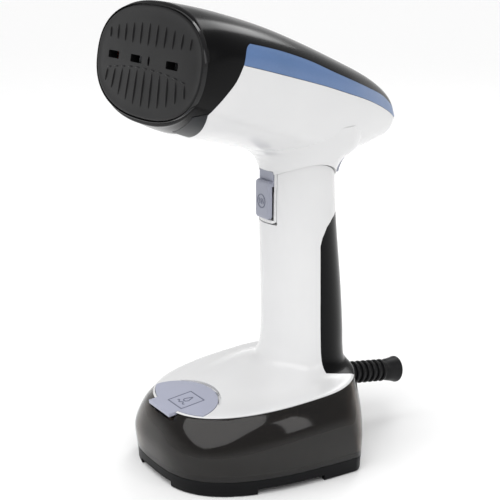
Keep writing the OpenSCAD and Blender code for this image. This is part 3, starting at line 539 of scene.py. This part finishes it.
def flapSlab(gap, low, high):
    # the flap's outline, grown by the gap: a half oval behind, the base's own curve and a tab in front
    rounded = []
    for i in range(120):
        a = math.radians(3 * i)
        isFront = math.sin(a) < 0
        w = flap["half"] + gap - (flap["widen"] * math.sin(a) if isFront else 0)
        reachY = 30 if isFront else flap["depth"] + gap
        rounded.append((w * math.cos(a), flap["mid"] + reachY * math.sin(a)))
    slab = upright(rounded, -low, high)
    reach = upright([(x, y) for x, y, z in planRing(standRows[0], -gap)], -30, 30)
    tab = middle(flap["tab"] + gap, flap["tabFrom"] - front - gap, flap["tabTo"] - front, -low - 1, high + 1)
    return placed(keep(slab, join(reach, tab)), flapPlane)


def flapEars(gap, top):
    # the two lugs of the handle that hold the flap's pin
    (x0, x1), (y0, y1) = flap["earX"], flap["earY"]
    ears = [block(a - gap, b + gap, flapAxis + y0 - gap, flapAxis + y1 + gap, -5, top)
            for a, b in ((x0, x1), (-x1, -x0))]
    return placed(join(*ears), flapPlane)


def lowRing(z, inset):
    return planRing([z] + baseRows[0][1:], inset)


# rings are (z, inset); a notch is (half width, from y, to y)
bottom = {"outside": [(0.3, 1.3), (0.5, 0.9), (1.2, 0.7), (6, 0.5), (8.4, 0.05), (8.8, 0.35), (9, 0.9)],
          "hollow": [(-1, 3.3), (6, 3)], "notches": [(far, -46, -6), (17, -100, -58), (24, 12, 60)],
          "notchH": 3.4, "screwR": 1.7}
basePlate = loft("basePlate", [lowRing(z, inset) for z, inset in bottom["outside"]])
cut(basePlate, loft("hollow", [lowRing(z, inset) for z, inset in bottom["hollow"]]),
    *[middle(hx, y0, y1, -1, bottom["notchH"]) for hx, y0, y1 in bottom["notches"]],
    *[bar((x, y, -1), (x, y, 20), bottom["screwR"]) for x, y in bosses])
finishPiece(basePlate, "bottomPlate", "stand", "black_satin", ["base_plate"], 35)

tank = {"wall": 2.4, "gap": 0.3, "edge": 0.6, "bossR": 3.5, "bossH": 12, "pilotR": 1.5, "pilotH": 10.6,
        "tabGap": 0.8, "tabIn": 12, "tabDown": 9, "flapDown": 2.3}
tankRows = between(baseRows)
waterTank = loft("tank", [planRing(tankRows[0], tank["edge"], -0.05)]
                 + [planRing(row) for row in tankRows[:-1]]
                 + [planRing(tankRows[-1], 0.05, -0.15), planRing(tankRows[-1], tank["edge"], 0)])
inside = loft("inside", [planRing(tankRows[0], tank["wall"], tank["wall"])]
              + [planRing(row, tank["wall"]) for row in tankRows[steps:]]
              + [planRing(tankRows[-1], tank["wall"], 2)])
tailHalf, tailFront = base["tailHalf"] + tank["gap"], base["tailY"] - tank["gap"]
cut(inside, middle(tailHalf + tank["wall"], tailFront - tank["wall"], far, -1, 120),
    *[bar((x, y, 0), (x, y, seamZ + tank["bossH"]), tank["bossR"]) for x, y in bosses])
cut(waterTank, inside, middle(tailHalf, tailFront, far, -1, 120),
    middle(flap["tab"] + tank["tabGap"], -front - 5, -front + tank["tabIn"], rimZ - tank["tabDown"], 90),
    flapSlab(flap["gap"], tank["flapDown"], 8),
    *[bar((x, y, 0), (x, y, seamZ + tank["pilotH"]), tank["pilotR"]) for x, y in bosses])
finishPiece(waterTank, "waterTank", "stand", "smoke_tank", ["water_tank"], 35)

# the hollow of the handle, with the two cheeks beside the tongue and a closed top left standing
standSpace = loft("space", [planRing(standRows[0], wall + 0.4, -6)]
                  + [planRing(row, wall, -wall if row[0] < rimZ + 10 else 0) for row in between(standRows)])
cheekOut = slotHalf + grip["cheek"]
for sign in (-1, 1):
    x0, x1 = sorted((sign * slotHalf, sign * cheekOut))
    cut(standSpace, block(x0, x1, -far, 110, hingeZ - 25, hingeZ + 80))


def aboveSeam(radius):
    # all that is over the round seam between handle and head
    return cut(middle(far, -far, 110, hingeZ, hingeZ + 90), onHinge(radius))


def slotCut():
    # the slot that the head's tongue swings in
    top = hingeZ + 80
    return join(middle(slotHalf, -far, hingeY, tongueZ - 0.6, top),
                middle(slotHalf, hingeY, 110, hingeZ - 3, top))


cut(standSpace, aboveSeam(grip["seamR"] - wall))

# depths are below the flap's plane; the well is the recess that the flap's rear edge swings into
seat = {"grow": 3, "deep": 4.2, "under": 0.5, "floor": 2.2, "earTop": -0.55,
        "barrelHalf": 7.3, "barrelY": 1.7, "wellGap": 1.8, "wellDeep": 1.5,
        "wellHalf": 26.5, "wellY": (-6, 5), "fillWall": 1.5, "hingeHole": 4.6}
handle = cut(solidStand(), copyOf(standSpace))
join(handle, keep(flapSlab(seat["grow"], seat["deep"], -seat["under"]), solidStand()))
well = middle(seat["wellHalf"], flapAxis + seat["wellY"][0], flapAxis + seat["wellY"][1], -2, 9)
fillR = flap["fillD"] / 2 + seat["fillWall"]
cut(handle, aboveSeam(grip["seamR"]), slotCut(), rearRegion(0),
    cut(flapSlab(flap["gap"], seat["floor"], 8), flapEars(0, seat["earTop"])),
    placed(middle(seat["barrelHalf"], flapAxis - seat["barrelY"], flapAxis + seat["barrelY"], -3, 2),
           flapPlane),
    keep(flapSlab(seat["wellGap"], seat["wellDeep"], 8), placed(well, flapPlane)),
    placed(bar((0, flap["fillY"], -20), (0, flap["fillY"], 10), fillR), flapPlane),
    onHinge(seat["hingeHole"], -cheekOut - 1, cheekOut + 1))
finishPiece(handle, "whiteHandle", "stand", "white_gloss", ["handle_shell"])

# the rear cover and the tail that runs down behind the tank, with the cord's hole
cord = {"tilt": math.radians(7.7), "up": 25.4, "holeR": 5.9, "seam": 0.15}
cordAt = Vector((0, rearY, seamZ + cord["up"]))
cordWay = Vector((0, math.cos(cord["tilt"]), -math.sin(cord["tilt"])))
tail = keep(loft("tail", [planRing(row) for row in between(baseRows)] + [planRing(baseRows[-1], 0.2, 1)]),
            middle(base["tailHalf"], base["tailY"], far, -1, rimZ + 60))
cut(tail, keep(loft("inner", [planRing(baseRows[0], wall, -4), planRing(baseRows[4], wall, 4)]),
               middle(base["tailHalf"] - wall, base["tailY"] + wall, far, -1, rimZ + 40)))
cover = cut(keep(solidStand(), rearRegion(cord["seam"])), standSpace)
join(cover, tail)
cut(cover, slotCut(), bar(cordAt - cordWay * 12, cordAt + cordWay * 18, cord["holeR"]))
finishPiece(cover, "rearCover", "stand", "black_gloss", ["rear_cover"])

# head: dark top cover, two blue stripes and the white housing
seam = 0.12
headWall = cut(solidHead(), headSpace(wall))
topCover = cut(copyOf(headWall), belowStripe(0), stripeBand(0))
finishPiece(topCover, "topCover", "head", "black_gloss", ["top_cover"])
stripes = keep(headWall, stripeBand(seam))
for name, node, x0, x1 in (("blueStripeLeft", "stripe_left", -far, -0.05),
                           ("blueStripeRight", "stripe_right", 0.05, far)):
    stripe = keep(copyOf(stripes), block(x0, x1, -far, far, 100, 400))
    finishPiece(stripe, name, "head", "blue_stripe", [node])
bpy.data.objects.remove(stripes)

latch = {"half": 11, "z0": hingeZ + 20, "z1": hingeZ + 27.5, "gap": 0.3, "from": 29.8, "out": -1.6,
         "stemR": 2, "stemY": (18, 30.4), "stemZ": hingeZ + 23.5}
pocket = {"half": 6.95, "z0": tongueZ + 1.7, "z1": hingeZ + 23.4}
tongue = {"r": 3, "front": -60, "top": hingeZ + 27, "hubR": 15.6}
floorR = grip["seamR"] + grip["gap"]


def tongueBlank():
    # the front of the neck, which reaches down between the cheeks and has rounded lower corners
    w, r = grip["tongue"], tongue["r"]
    outline = [(-w, tongueZ + 40), (-w, tongueZ + r)]
    outline += [(-w + r - r * math.cos(a), tongueZ + r - r * math.sin(a))
                for a in (math.radians(10 * i) for i in range(1, 10))]
    outline += [(-x, z) for x, z in reversed(outline)]
    blank = loft("tongue", [[(x, y, z) for x, z in outline] for y in (tongue["front"], hingeY - 4)])
    keep(blank, solidStand())
    return cut(blank, middle(far, -far, far, tongue["top"], hingeZ + 90), onHinge(tongue["hubR"]))


housing = keep(join(solidHead(), solidNeck()), belowStripe(seam))
neckInside = cut(solidNeck(wall), onHinge(floorR + wall))
cut(housing, onHinge(floorR), middle(far, -far, far, 0, hingeZ + 10), headSpace(wall), neckInside)
join(housing, tongueBlank())
# openings for the web of the fold knuckle, the trigger, the rear button and the latch bolt
cut(housing, middle(6.2, 1.4, 15.8, hingeZ + 8, hingeZ + 40),
    middle(pocket["half"], tongue["front"], hingeY - 9, pocket["z0"], pocket["z1"]),
    middle(latch["half"] + latch["gap"], 26, 80, latch["z0"] - latch["gap"], latch["z1"] + latch["gap"]),
    middle(4.4, 16.2, 29, hingeZ + 12, hingeZ + 29))
finishPiece(housing, "whiteHousing", "head", "white_gloss", ["head_shell"])
print("shells done")

# the steam plate: its edge is (inset, depth behind the face), its vents are (x, width)
face = {"edge": [(6, 0), (2, 0.2), (1.1, 0.05), (0.55, 0.2), (0.2, 0.5), (0.02, 1.0), (0, 1.6), (0, 2.2),
                 (2, 2.3), (2, plate["thick"])],
        "vents": [(-36.6, 12.4), (-10.7, 12.4), (27.3, 12)], "ventH": 3.9, "ventR": 0.6, "ventZ": 0.6,
        "eyeX": 3, "eye": (1.15, 2.4)}


def plateHole(outline, x):
    return loft("hole", [[onPlate(x + u, y, face["ventZ"] + v) for u, v in outline] for y in (-2, 9)])


steamPlate = loft("plate", [oval(inset, y) for inset, y in face["edge"]])
for x, w in face["vents"]:
    hx, hz, r = w / 2, face["ventH"] / 2, face["ventR"]
    corners = [(sx * (hx - r) + r * math.cos(a), sz * (hz - r) + r * math.sin(a))
               for sx, sz, start in ((1, 1, 0), (-1, 1, 90), (-1, -1, 180), (1, -1, 270))
               for a in (math.radians(start + 22.5 * k) for k in range(5))]
    cut(steamPlate, plateHole(corners, x))
wide, tall = face["eye"]
eye = [(wide * math.cos(a), tall * math.sin(a)) for a in (math.radians(10 * i) for i in range(36))]
cut(steamPlate, plateHole(eye, face["eyeX"]))
finishPiece(steamPlate, "steamPlate", "head", "plate_coating", ["steam_plate"], 40)

# the dark catch that holds the plate, let into the covers low on each side, with the recess's shade painted
# into its colour; its outline is (y, z)
catch = {"outline": [(-80, 204), (-79, 197), (-76, 190), (-72.6, 186), (-66.5, 186), (-69, 192),
                     (-71.5, 199), (-73.6, 205.5)], "proud": 0.22, "deep": 0.9, "from": 20}
for sign, name in ((1, "catchRight"), (-1, "catchLeft")):
    skin, core = (loft("shell", [headRing(row, inset) for row in between(headRows, 0, 3)])
                  for inset in (-catch["proud"], catch["deep"]))
    ends = sorted((sign * catch["from"], sign * far))
    sideBlock = loft("side", [[(x, y, z) for y, z in catch["outline"]] for x in ends])
    finishPiece(cut(keep(skin, sideBlock), core), name, "head", "bezel_gloss", (), 35, material=catchPlasticAndShade)


def turnedRings(name, rings):
    # like a loft, but the last ring meets the first one instead of being capped
    count, n = len(rings), len(rings[0])
    faces = []
    for j in range(count):
        a, b = j * n, (j + 1) % count * n
        faces += [(a + i, a + (i + 1) % n, b + (i + 1) % n, b + i) for i in range(n)]
    return meshObject(name, [p for ring in rings for p in ring], faces)


# the glossy ring between the plate and the covers, as (depth, inset)
bezelEdge = [(2.2, -0.3), (0.6, -0.35), (0.1, -0.5), (0.2, -0.8), (0.9, -0.95), (2.2, -0.95)]
bezel = turnedRings("bezel", [oval(inset, y) for y, inset in bezelEdge])
finishPiece(bezel, "plateBezel", "head", "bezel_gloss", ["front_bezel"], 50)


def nodeGroup(name, inputs):
    tree = bpy.data.node_groups.new(name, "GeometryNodeTree")
    tree.interface.new_socket("Geometry", in_out="OUTPUT", socket_type="NodeSocketGeometry")
    for label, kind, value in inputs:
        socket = tree.interface.new_socket(label, in_out="INPUT", socket_type=kind)
        if value is not None:
            socket.default_value = value
    return tree


def grown(name, tree, values):
    # an object whose plain mesh is what the tree makes, in millimetres
    obj = meshObject(name, [(0, 0, 0)], [])
    modifier = obj.modifiers.new("grown", "NODES")
    modifier.node_group = tree
    ids = {item.name: item.identifier for item in tree.interface.items_tree if item.in_out == "INPUT"}
    for label, value in values.items():
        modifier[ids[label]] = value
    return bake(obj)


def fanTree():
    # raised ribs side by side: each stands on a curved line, leans and is as long as its place says
    tree = nodeGroup("fanOfRibs", [("Count", "NodeSocketInt", 11), ("Pitch", "NodeSocketFloat", 8.0),
                                   ("Middle", "NodeSocketFloat", 0.0), ("Bow", "NodeSocketFloat", 0.0),
                                   ("Lean", "NodeSocketFloat", 0.0), ("Length", "NodeSocketFloat", 10.0),
                                   ("Taper", "NodeSocketFloat", 0.0), ("Width", "NodeSocketFloat", 0.9),
                                   ("Turn", "NodeSocketFloat", 0.0),
                                   ("Material", "NodeSocketMaterial", None)])
    given = addNode(tree, "NodeGroupInput").outputs
    line = addNode(tree, "GeometryNodeMeshLine", None, {"Count": given["Count"]})
    index = addNode(tree, "GeometryNodeInputIndex")

    maths = "ShaderNodeMath"
    last = addNode(tree, maths, {"operation": "SUBTRACT", 1: 1}, {0: given["Count"]})
    centre = addNode(tree, maths, {"operation": "MULTIPLY", 1: 0.5}, {0: last.outputs[0]})
    place = addNode(tree, maths, {"operation": "SUBTRACT"}, {0: index.outputs[0], 1: centre.outputs[0]})
    x = addNode(tree, maths, {"operation": "MULTIPLY"}, {0: place.outputs[0], 1: given["Pitch"]}).outputs[0]
    square = addNode(tree, maths, {"operation": "MULTIPLY"}, {0: x, 1: x}).outputs[0]
    fitted = {"operation": "MULTIPLY_ADD"}
    z = addNode(tree, maths, fitted, {0: square, 1: given["Bow"], 2: given["Middle"]}).outputs[0]
    length = addNode(tree, maths, fitted, {0: square, 1: given["Taper"], 2: given["Length"]}).outputs[0]
    lean = addNode(tree, maths, fitted, {0: x, 1: given["Lean"], 2: given["Turn"]}).outputs[0]
    spot = addNode(tree, "ShaderNodeCombineXYZ", None, {"X": x, "Z": z})
    moved = addNode(tree, "GeometryNodeSetPosition", None,
                    {"Geometry": line.outputs["Mesh"], "Position": spot.outputs[0]})
    ball = addNode(tree, "GeometryNodeMeshUVSphere", {"Segments": 12, "Rings": 8, "Radius": 0.5})
    size = addNode(tree, "ShaderNodeCombineXYZ", None,
                   {"X": given["Width"], "Y": given["Width"], "Z": length})
    turn = addNode(tree, "ShaderNodeCombineXYZ", None, {"Y": lean})
    many = addNode(tree, "GeometryNodeInstanceOnPoints", None,
                   {"Points": moved.outputs["Geometry"], "Instance": ball.outputs["Mesh"],
                    "Rotation": turn.outputs[0], "Scale": size.outputs[0]})
    real = addNode(tree, "GeometryNodeRealizeInstances", None, {"Geometry": many.outputs["Instances"]})
    painted = addNode(tree, "GeometryNodeSetMaterial", None,
                      {"Geometry": real.outputs["Geometry"], "Material": given["Material"]})
    addNode(tree, "NodeGroupOutput", None, {"Geometry": painted.outputs["Geometry"]})
    return tree


ribSets = {
    "upper": {"Count": 11, "Pitch": 8.6, "Middle": 13.6, "Bow": -0.0009, "Lean": 0.0022, "Length": 11.5,
              "Taper": -0.0032, "Width": 1.15},
    "lower": {"Count": 11, "Pitch": 8.5, "Middle": -13.7, "Bow": 0.0018, "Lean": -0.0052, "Length": 18.6,
              "Taper": -0.0066, "Width": 1.15},
    "dashes": {"Count": 11, "Pitch": 8.0, "Middle": -3.4, "Bow": -0.0017, "Lean": 0.0034, "Length": 4.6,
               "Taper": 0.0, "Width": 0.95, "Turn": math.pi / 2},
}
fan = fanTree()
plateMatrix = Matrix.Translation((0, plate["y"], plate["z"])) @ Matrix.Rotation(-plate["tilt"], 4, "X")
for setName, values in ribSets.items():
    ribs = grown(setName, fan, {**values, "Material": materials["plate_coating"]})
    placed(ribs, plateMatrix @ Matrix.Translation((0, 0.02, 0)))
    finishPiece(ribs, "plateRibs" + setName.capitalize(), "head", "plate_coating", (), 60)


def coilTree():
    tree = nodeGroup("woundSpring", [("Turns", "NodeSocketFloat", 4.0), ("Radius", "NodeSocketFloat", 2.0),
                                     ("Length", "NodeSocketFloat", 4.0), ("Wire", "NodeSocketFloat", 0.25),
                                     ("Material", "NodeSocketMaterial", None)])
    given = addNode(tree, "NodeGroupInput").outputs
    path = addNode(tree, "GeometryNodeCurveSpiral", {"Resolution": 24},
                   {"Rotations": given["Turns"], "Start Radius": given["Radius"],
                    "End Radius": given["Radius"], "Height": given["Length"]})
    section = addNode(tree, "GeometryNodeCurvePrimitiveCircle", {"Resolution": 8}, {"Radius": given["Wire"]})
    wire = addNode(tree, "GeometryNodeCurveToMesh", {"Fill Caps": True},
                   {"Curve": path.outputs["Curve"], "Profile Curve": section.outputs["Curve"]})
    real = addNode(tree, "GeometryNodeRealizeInstances", None, {"Geometry": wire.outputs["Mesh"]})
    painted = addNode(tree, "GeometryNodeSetMaterial", None,
                      {"Geometry": real.outputs["Geometry"], "Material": given["Material"]})
    addNode(tree, "NodeGroupOutput", None, {"Geometry": painted.outputs["Geometry"]})
    return tree


coil = coilTree()
springs = {"triggerCoil": {"node": "trigger_spring", "turns": 4.5, "r": 1.75, "wire": 0.22},
           "latchCoil": {"node": "release_spring", "turns": 4.0, "r": 2.9, "wire": 0.25}}
for name, spring in springs.items():
    low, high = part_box(spring["node"])
    length = (high.y - low.y) / mm - 2 * spring["wire"]
    turned = grown(name, coil, {"Turns": spring["turns"], "Radius": spring["r"], "Length": length,
                                "Wire": spring["wire"], "Material": materials["steel"]})
    middleAt = (0, low.y / mm + spring["wire"], (low.z + high.z) / 2 / mm)
    placed(turned, Matrix.Translation(middleAt) @ Matrix.Rotation(-math.pi / 2, 4, "X"))
    finishPiece(turned, name, "head", "steel", [spring["node"]], 60)


def ringTree():
    # the ribs of the bend relief, all on one axis
    tree = nodeGroup("rowOfRings", [("Count", "NodeSocketInt", 7), ("Pitch", "NodeSocketFloat", 5.0),
                                    ("Radius", "NodeSocketFloat", 6.0), ("Thickness", "NodeSocketFloat", 1.5),
                                    ("Material", "NodeSocketMaterial", None)])
    given = addNode(tree, "NodeGroupInput").outputs
    step = addNode(tree, "ShaderNodeCombineXYZ", None, {"Z": given["Pitch"]})
    line = addNode(tree, "GeometryNodeMeshLine", None, {"Count": given["Count"], "Offset": step.outputs[0]})
    path = addNode(tree, "GeometryNodeCurvePrimitiveCircle", {"Resolution": 64}, {"Radius": given["Radius"]})
    section = addNode(tree, "GeometryNodeCurvePrimitiveCircle", {"Resolution": 12},
                      {"Radius": given["Thickness"]})
    ring = addNode(tree, "GeometryNodeCurveToMesh", None,
                   {"Curve": path.outputs["Curve"], "Profile Curve": section.outputs["Curve"]})
    many = addNode(tree, "GeometryNodeInstanceOnPoints", None,
                   {"Points": line.outputs["Mesh"], "Instance": ring.outputs["Mesh"]})
    real = addNode(tree, "GeometryNodeRealizeInstances", None, {"Geometry": many.outputs["Instances"]})
    painted = addNode(tree, "GeometryNodeSetMaterial", None,
                      {"Geometry": real.outputs["Geometry"], "Material": given["Material"]})
    addNode(tree, "NodeGroupOutput", None, {"Geometry": painted.outputs["Geometry"]})
    return tree


# the bend relief: its profile is (radius, distance along the cord), turned about the cord
guard = {"bore": 3.6, "corners": 72, "ribs": 8, "ribPitch": 4.1, "ribR": 5.6, "ribThick": 1.15,
         "firstRib": 5.6}
profile = [(guard["bore"], -8.2), (9.1, -8.2), (9.1, -6), (5.8, -6), (5.8, 0.2), (6.5, 0.3), (6.7, 0.6),
           (6.7, 2.2), (5.7, 2.9), (5.5, 4), (5.4, 34.5), (5.6, 36), (6.2, 37.4), (6.6, 38.6), (6.9, 41),
           (7.5, 44), (7.95, 45.4), (7.9, 46.1), (7.4, 46.4), (6.6, 46.3), (guard["bore"] + 1.4, 44.5),
           (guard["bore"], 41)]
guardMatrix = Matrix.Translation(cordAt) @ Matrix.Rotation(-math.pi / 2 - cord["tilt"], 4, "X")
around = [2 * math.pi * i / guard["corners"] for i in range(guard["corners"])]
sleeve = turnedRings("guard", [[(r * math.cos(a), r * math.sin(a), z) for a in around] for r, z in profile])
finishPiece(placed(sleeve, guardMatrix), "cordGuard", "stand", "guard_rubber", ["cord_guard"], 40)
rings = grown("rings", ringTree(), {"Count": guard["ribs"], "Pitch": guard["ribPitch"],
                                    "Radius": guard["ribR"], "Thickness": guard["ribThick"],
                                    "Material": materials["guard_rubber"]})
placed(rings, guardMatrix @ Matrix.Translation((0, 0, guard["firstRib"])))
finishPiece(rings, "cordGuardRibs", "stand", "guard_rubber", (), 60)


def flapBar(hx, radius):
    # a round bar on the flap's own axis
    return placed(bar((-hx, flapAxis, -flap["pinR"]), (hx, flapAxis, -flap["pinR"]), radius, 32), flapPlane)


# the filler flap: a lid with a barrel between the two ears and a bore for the pin
lid = join(flapSlab(0, flap["thick"], 0), flapBar(7, flap["pinR"]))
cut(lid, flapEars(0.25, -0.35), flapBar(8, 0.6))
finishPiece(lid, "fillerFlap", "flap", "lavender_flap", ["filler_flap"], 35, edgeRound=0.35)


def strip(points, width, closed, z=0.0, height=0.14):
    # a flat raised line along points (x, y)
    n = len(points)
    left, right = [], []
    for i, p in enumerate(points):
        a = Vector(points[(i - 1) % n] if closed or i else points[i])
        b = Vector(points[(i + 1) % n] if closed or i < n - 1 else points[i])
        way = (b - a).normalized()
        off = Vector((-way.y, way.x)) * width / 2
        left.append(Vector(p) + off)
        right.append(Vector(p) - off)
    points3 = [(q.x, q.y, z) for q in left + right] + [(q.x, q.y, z + height) for q in left + right]
    faces = []
    last = n if closed else n - 1
    for i in range(last):
        k = (i + 1) % n
        faces += [(i, k, n + k, n + i), (2 * n + i, 3 * n + i, 3 * n + k, 2 * n + k),
                  (i, 2 * n + i, 2 * n + k, k), (n + i, n + k, 3 * n + k, 3 * n + i)]
    if not closed:
        faces += [(0, n, 3 * n, 2 * n), (n - 1, 3 * n - 1, 4 * n - 1, 2 * n - 1)]
    return meshObject("strip", points3, faces)


def merged(name, parts):
    built = bmesh.new()
    for part in parts:
        built.from_mesh(part.data)
        bpy.data.objects.remove(part)
    mesh = bpy.data.meshes.new(name)
    built.to_mesh(mesh)
    built.free()
    obj = bpy.data.objects.new(name, mesh)
    bpy.context.scene.collection.objects.link(obj)
    return obj


def circle(r, count=40):
    return [(r * math.cos(a), r * math.sin(a)) for a in (2 * math.pi * i / count for i in range(count))]


def drop(r, x, y):
    # a water drop: round below, pointed above
    points = []
    for i in range(40):
        a = 2 * math.pi * i / 40
        points.append((x + r * math.cos(a) * (1 - 0.35 * max(0, math.sin(a))),
                       y + r * (math.sin(a) + 0.9 * max(0, math.sin(a)) ** 4)))
    return points


# the fill mark: a frame with cut corners, a drop and a wave under it
mark = {"x": 3.5, "y": -63.5, "w": 7.4, "h": 7.2, "line": 0.7, "corner": 0.12, "dropR": 1.9, "dropUp": 0.6,
        "waveHalf": 4, "waveDown": 3.2, "waveH": 0.7, "waveSteps": 24, "sunk": 0.04}
frameLine = [(mark["x"] + sx * mark["w"], mark["y"] + sy * mark["h"])
             for sx, sy in ((-1, -1), (1, -1), (1, 1), (-1, 1))]
corner = []
for k, (x, y) in enumerate(frameLine):
    px, py = frameLine[k - 1]
    nx, ny = frameLine[(k + 1) % 4]
    corner += [(x + (px - x) * t * mark["corner"], y + (py - y) * t * mark["corner"]) for t in (0.8, 0.4, 0)]
    corner += [(x + (nx - x) * t * mark["corner"], y + (ny - y) * t * mark["corner"]) for t in (0.4, 0.8)]
wave = []
for i in range(mark["waveSteps"] + 1):
    t = i / mark["waveSteps"]
    wave.append((mark["x"] + mark["waveHalf"] * (2 * t - 1),
                 mark["y"] - mark["waveDown"] + mark["waveH"] * math.sin(t * 4 * math.pi)))
dropLine = drop(mark["dropR"], mark["x"], mark["y"] + mark["dropUp"])
fillMark = merged("mark", [strip(corner, mark["line"], True), strip(dropLine, mark["line"], True),
                           strip(wave, mark["line"], False)])
placed(fillMark, flapPlane @ Matrix.Translation((0, 0, -mark["sunk"])))
finishPiece(fillMark, "fillMark", "flap", "lavender_flap", (), 40, material=inkDark)

lever = {"half": 6.7, "face": -9.8, "out": 2.6, "z0": pocket["z0"] + 0.6, "h": 21.4, "pivotY": -6.9,
         "pivotZ": hingeZ + 20.8, "low": hingeZ + 15, "back": 2.9, "hubR": 1.9, "boreR": 0.85, "cornerR": 2.2,
         "edge": [(0.1, 0), (-0.9, 0), (-1.7, 0.12), (-2.15, 0.42), (-2.42, 0.95), (-2.5, 1.9)]}
padTop = lever["z0"] + lever["h"]


def roundedPad(hx, z0, z1, y, r):
    points = []
    for sx, z, start in ((1, z1 - r, 0), (-1, z1 - r, 90), (-1, z0 + r, 180), (1, z0 + r, 270)):
        for k in range(7):
            a = math.radians(start + 15 * k)
            points.append((sx * (hx - r) + r * math.cos(a), y, z + r * math.sin(a)))
    return points


def pivotBar(hx, radius, corners=64):
    y, z = lever["pivotY"], lever["pivotZ"]
    return bar((-hx, y, z), (hx, y, z), radius, corners)


# the trigger: a cushion in front, a web and a hub behind; the edge is (y, inset)
hx, faceY = lever["half"], lever["face"]
pad = loft("pad", [roundedPad(hx - inset, lever["z0"] + inset, padTop - inset, faceY + y,
                              lever["cornerR"] - inset * 0.4) for y, inset in lever["edge"]])
join(pad, middle(hx, faceY - 0.4, faceY + lever["back"], lever["low"], padTop - 0.4),
     middle(hx, faceY + 0.6, faceY + lever["back"], lever["low"], pocket["z1"] - 0.5),
     pivotBar(hx, lever["hubR"]))
cut(pad, pivotBar(20, lever["boreR"], 32))
finishPiece(pad, "trigger", "trigger_lever", "lavender_trigger", ["trigger"], 40)

# the steam mark: three wavy lines in a circle
puffs = [[(1.7 * (k - 1) + 0.35 * math.sin(i / 12 * 2 * math.pi), 3 * i / 12 - 1.5) for i in range(13)]
         for k in range(3)]
steamMark = merged("steamMark", [strip(circle(3.7), 0.5, True)]
                   + [strip(line, 0.45, False) for line in puffs])
markAt = (0, faceY - lever["out"] + 0.03, lever["z0"] + lever["h"] * 0.46)
placed(steamMark, Matrix.Translation(markAt) @ Matrix.Rotation(math.pi / 2, 4, "X"))
finishPiece(steamMark, "steamMark", "trigger_lever", "lavender_trigger", (), 40, material=inkDark)

# the rear button and its stem
button = keep(middle(latch["half"], latch["from"], 80, latch["z0"], latch["z1"]), solidNeck(latch["out"]))
stem = [(0, y, latch["stemZ"]) for y in latch["stemY"]]
join(button, bar(*stem, latch["stemR"]))
finishPiece(button, "releaseButton", "release", "lavender_trigger", ["release_button"], 40, edgeRound=0.4)
print("small parts done")

# four round feet: spots are (in from the side, y), the profile is (z, radius)
foot = {"spots": [(20, -48), (19, 15)], "profile": [(0, 5.2), (0.25, 5.75), (0.8, 6), (6, 6)], "corners": 48}
feet = []
turn = [2 * math.pi * i / foot["corners"] for i in range(foot["corners"])]
for inward, y in foot["spots"]:
    for x in (inward - half, half - inward):
        footRings = [[(x + r * math.cos(a), y + r * math.sin(a), z) for a in turn]
                     for z, r in foot["profile"]]
        feet.append(loft("foot", footRings))
finishPiece(merged("feet", feet), "rubberFeet", "stand", "foot_rubber", ["rubber_feet"], 50)

# pale paper under the object and out to the horizon: matt, nearly white
studio = {"floor": "#FCFCFC", "floorShade": "#FAFAFA", "floorHalf": 9000, "horizon": 0.98, "overhead": 0.42,
          "lookAt": (0, -19.65, 119.53)}
edge = studio["floorHalf"]
floor = meshObject("floor", [(-edge, -edge, 0), (edge, -edge, 0), (edge, edge, 0), (-edge, edge, 0)],
                   [(0, 1, 2, 3)])
floor.data.transform(Matrix.Scale(mm, 4))
floor.data.materials.append(moulded("palePaper", {"color": studio["floor"], "shade": studio["floorShade"],
                                                  "roughness": (0.8, 0.9), "grain": 3, "bump": 0.05,
                                                  "specular": 0.1}))
world = bpy.data.worlds.new("softWorld")
world.use_nodes = True
sky = world.node_tree
# bright along the horizon and dimmer overhead, so that dark gloss stays dark
direction = addNode(sky, "ShaderNodeTexCoord")
height = addNode(sky, "ShaderNodeSeparateXYZ", None, {"Vector": direction.outputs["Generated"]})
glow = addNode(sky, "ShaderNodeMapRange", {"From Min": 0.02, "From Max": 0.3, "To Min": studio["horizon"],
                                           "To Max": studio["overhead"]}, {"Value": height.outputs["Z"]})
sky.nodes["Background"].inputs["Color"].default_value = hexColor("#FFFFFF")
sky.links.new(glow.outputs["Result"], sky.nodes["Background"].inputs["Strength"])
bpy.context.scene.world = world

lookAt = Vector(studio["lookAt"]) * mm
sunlight = {"power": 2.15, "spread": math.radians(75), "from": (0.25, -0.55, 0.95)}
sunData = bpy.data.lights.new("sun", "SUN")
sunData.energy = sunlight["power"]
sunData.angle = sunlight["spread"]
sun = bpy.data.objects.new("sun", sunData)
bpy.context.scene.collection.objects.link(sun)
sun.rotation_euler = (-Vector(sunlight["from"])).to_track_quat("-Z", "Y").to_euler()
# two soft boxes, placed in metres
lamps = {"top": {"at": (-0.35, 0.45, 1.0), "size": (0.25, 1.2), "power": 3},
         "side": {"at": (1.2, 0.4, 0.95), "size": (0.3, 0.9), "power": 1.6}}
for name, lamp in lamps.items():
    data = bpy.data.lights.new(name, "AREA")
    data.shape = "RECTANGLE"
    data.size, data.size_y = lamp["size"]
    data.energy = lamp["power"]
    light = bpy.data.objects.new(name, data)
    bpy.context.scene.collection.objects.link(light)
    light.location = lamp["at"]
    light.rotation_euler = (lookAt - light.location).to_track_quat("-Z", "Y").to_euler()

lens = {"at": (0.529, -0.3501, 0.2922), "focal": 84.7, "sensor": 36}
cameraData = bpy.data.cameras.new("camera")
cameraData.lens = lens["focal"]
cameraData.sensor_width = lens["sensor"]
camera = bpy.data.objects.new("camera", cameraData)
bpy.context.scene.collection.objects.link(camera)
camera.location = lens["at"]
camera.rotation_euler = (lookAt - camera.location).to_track_quat("-Z", "Y").to_euler()
bpy.context.scene.camera = camera
bpy.context.scene.view_settings.view_transform = "Standard"

print("studio done")
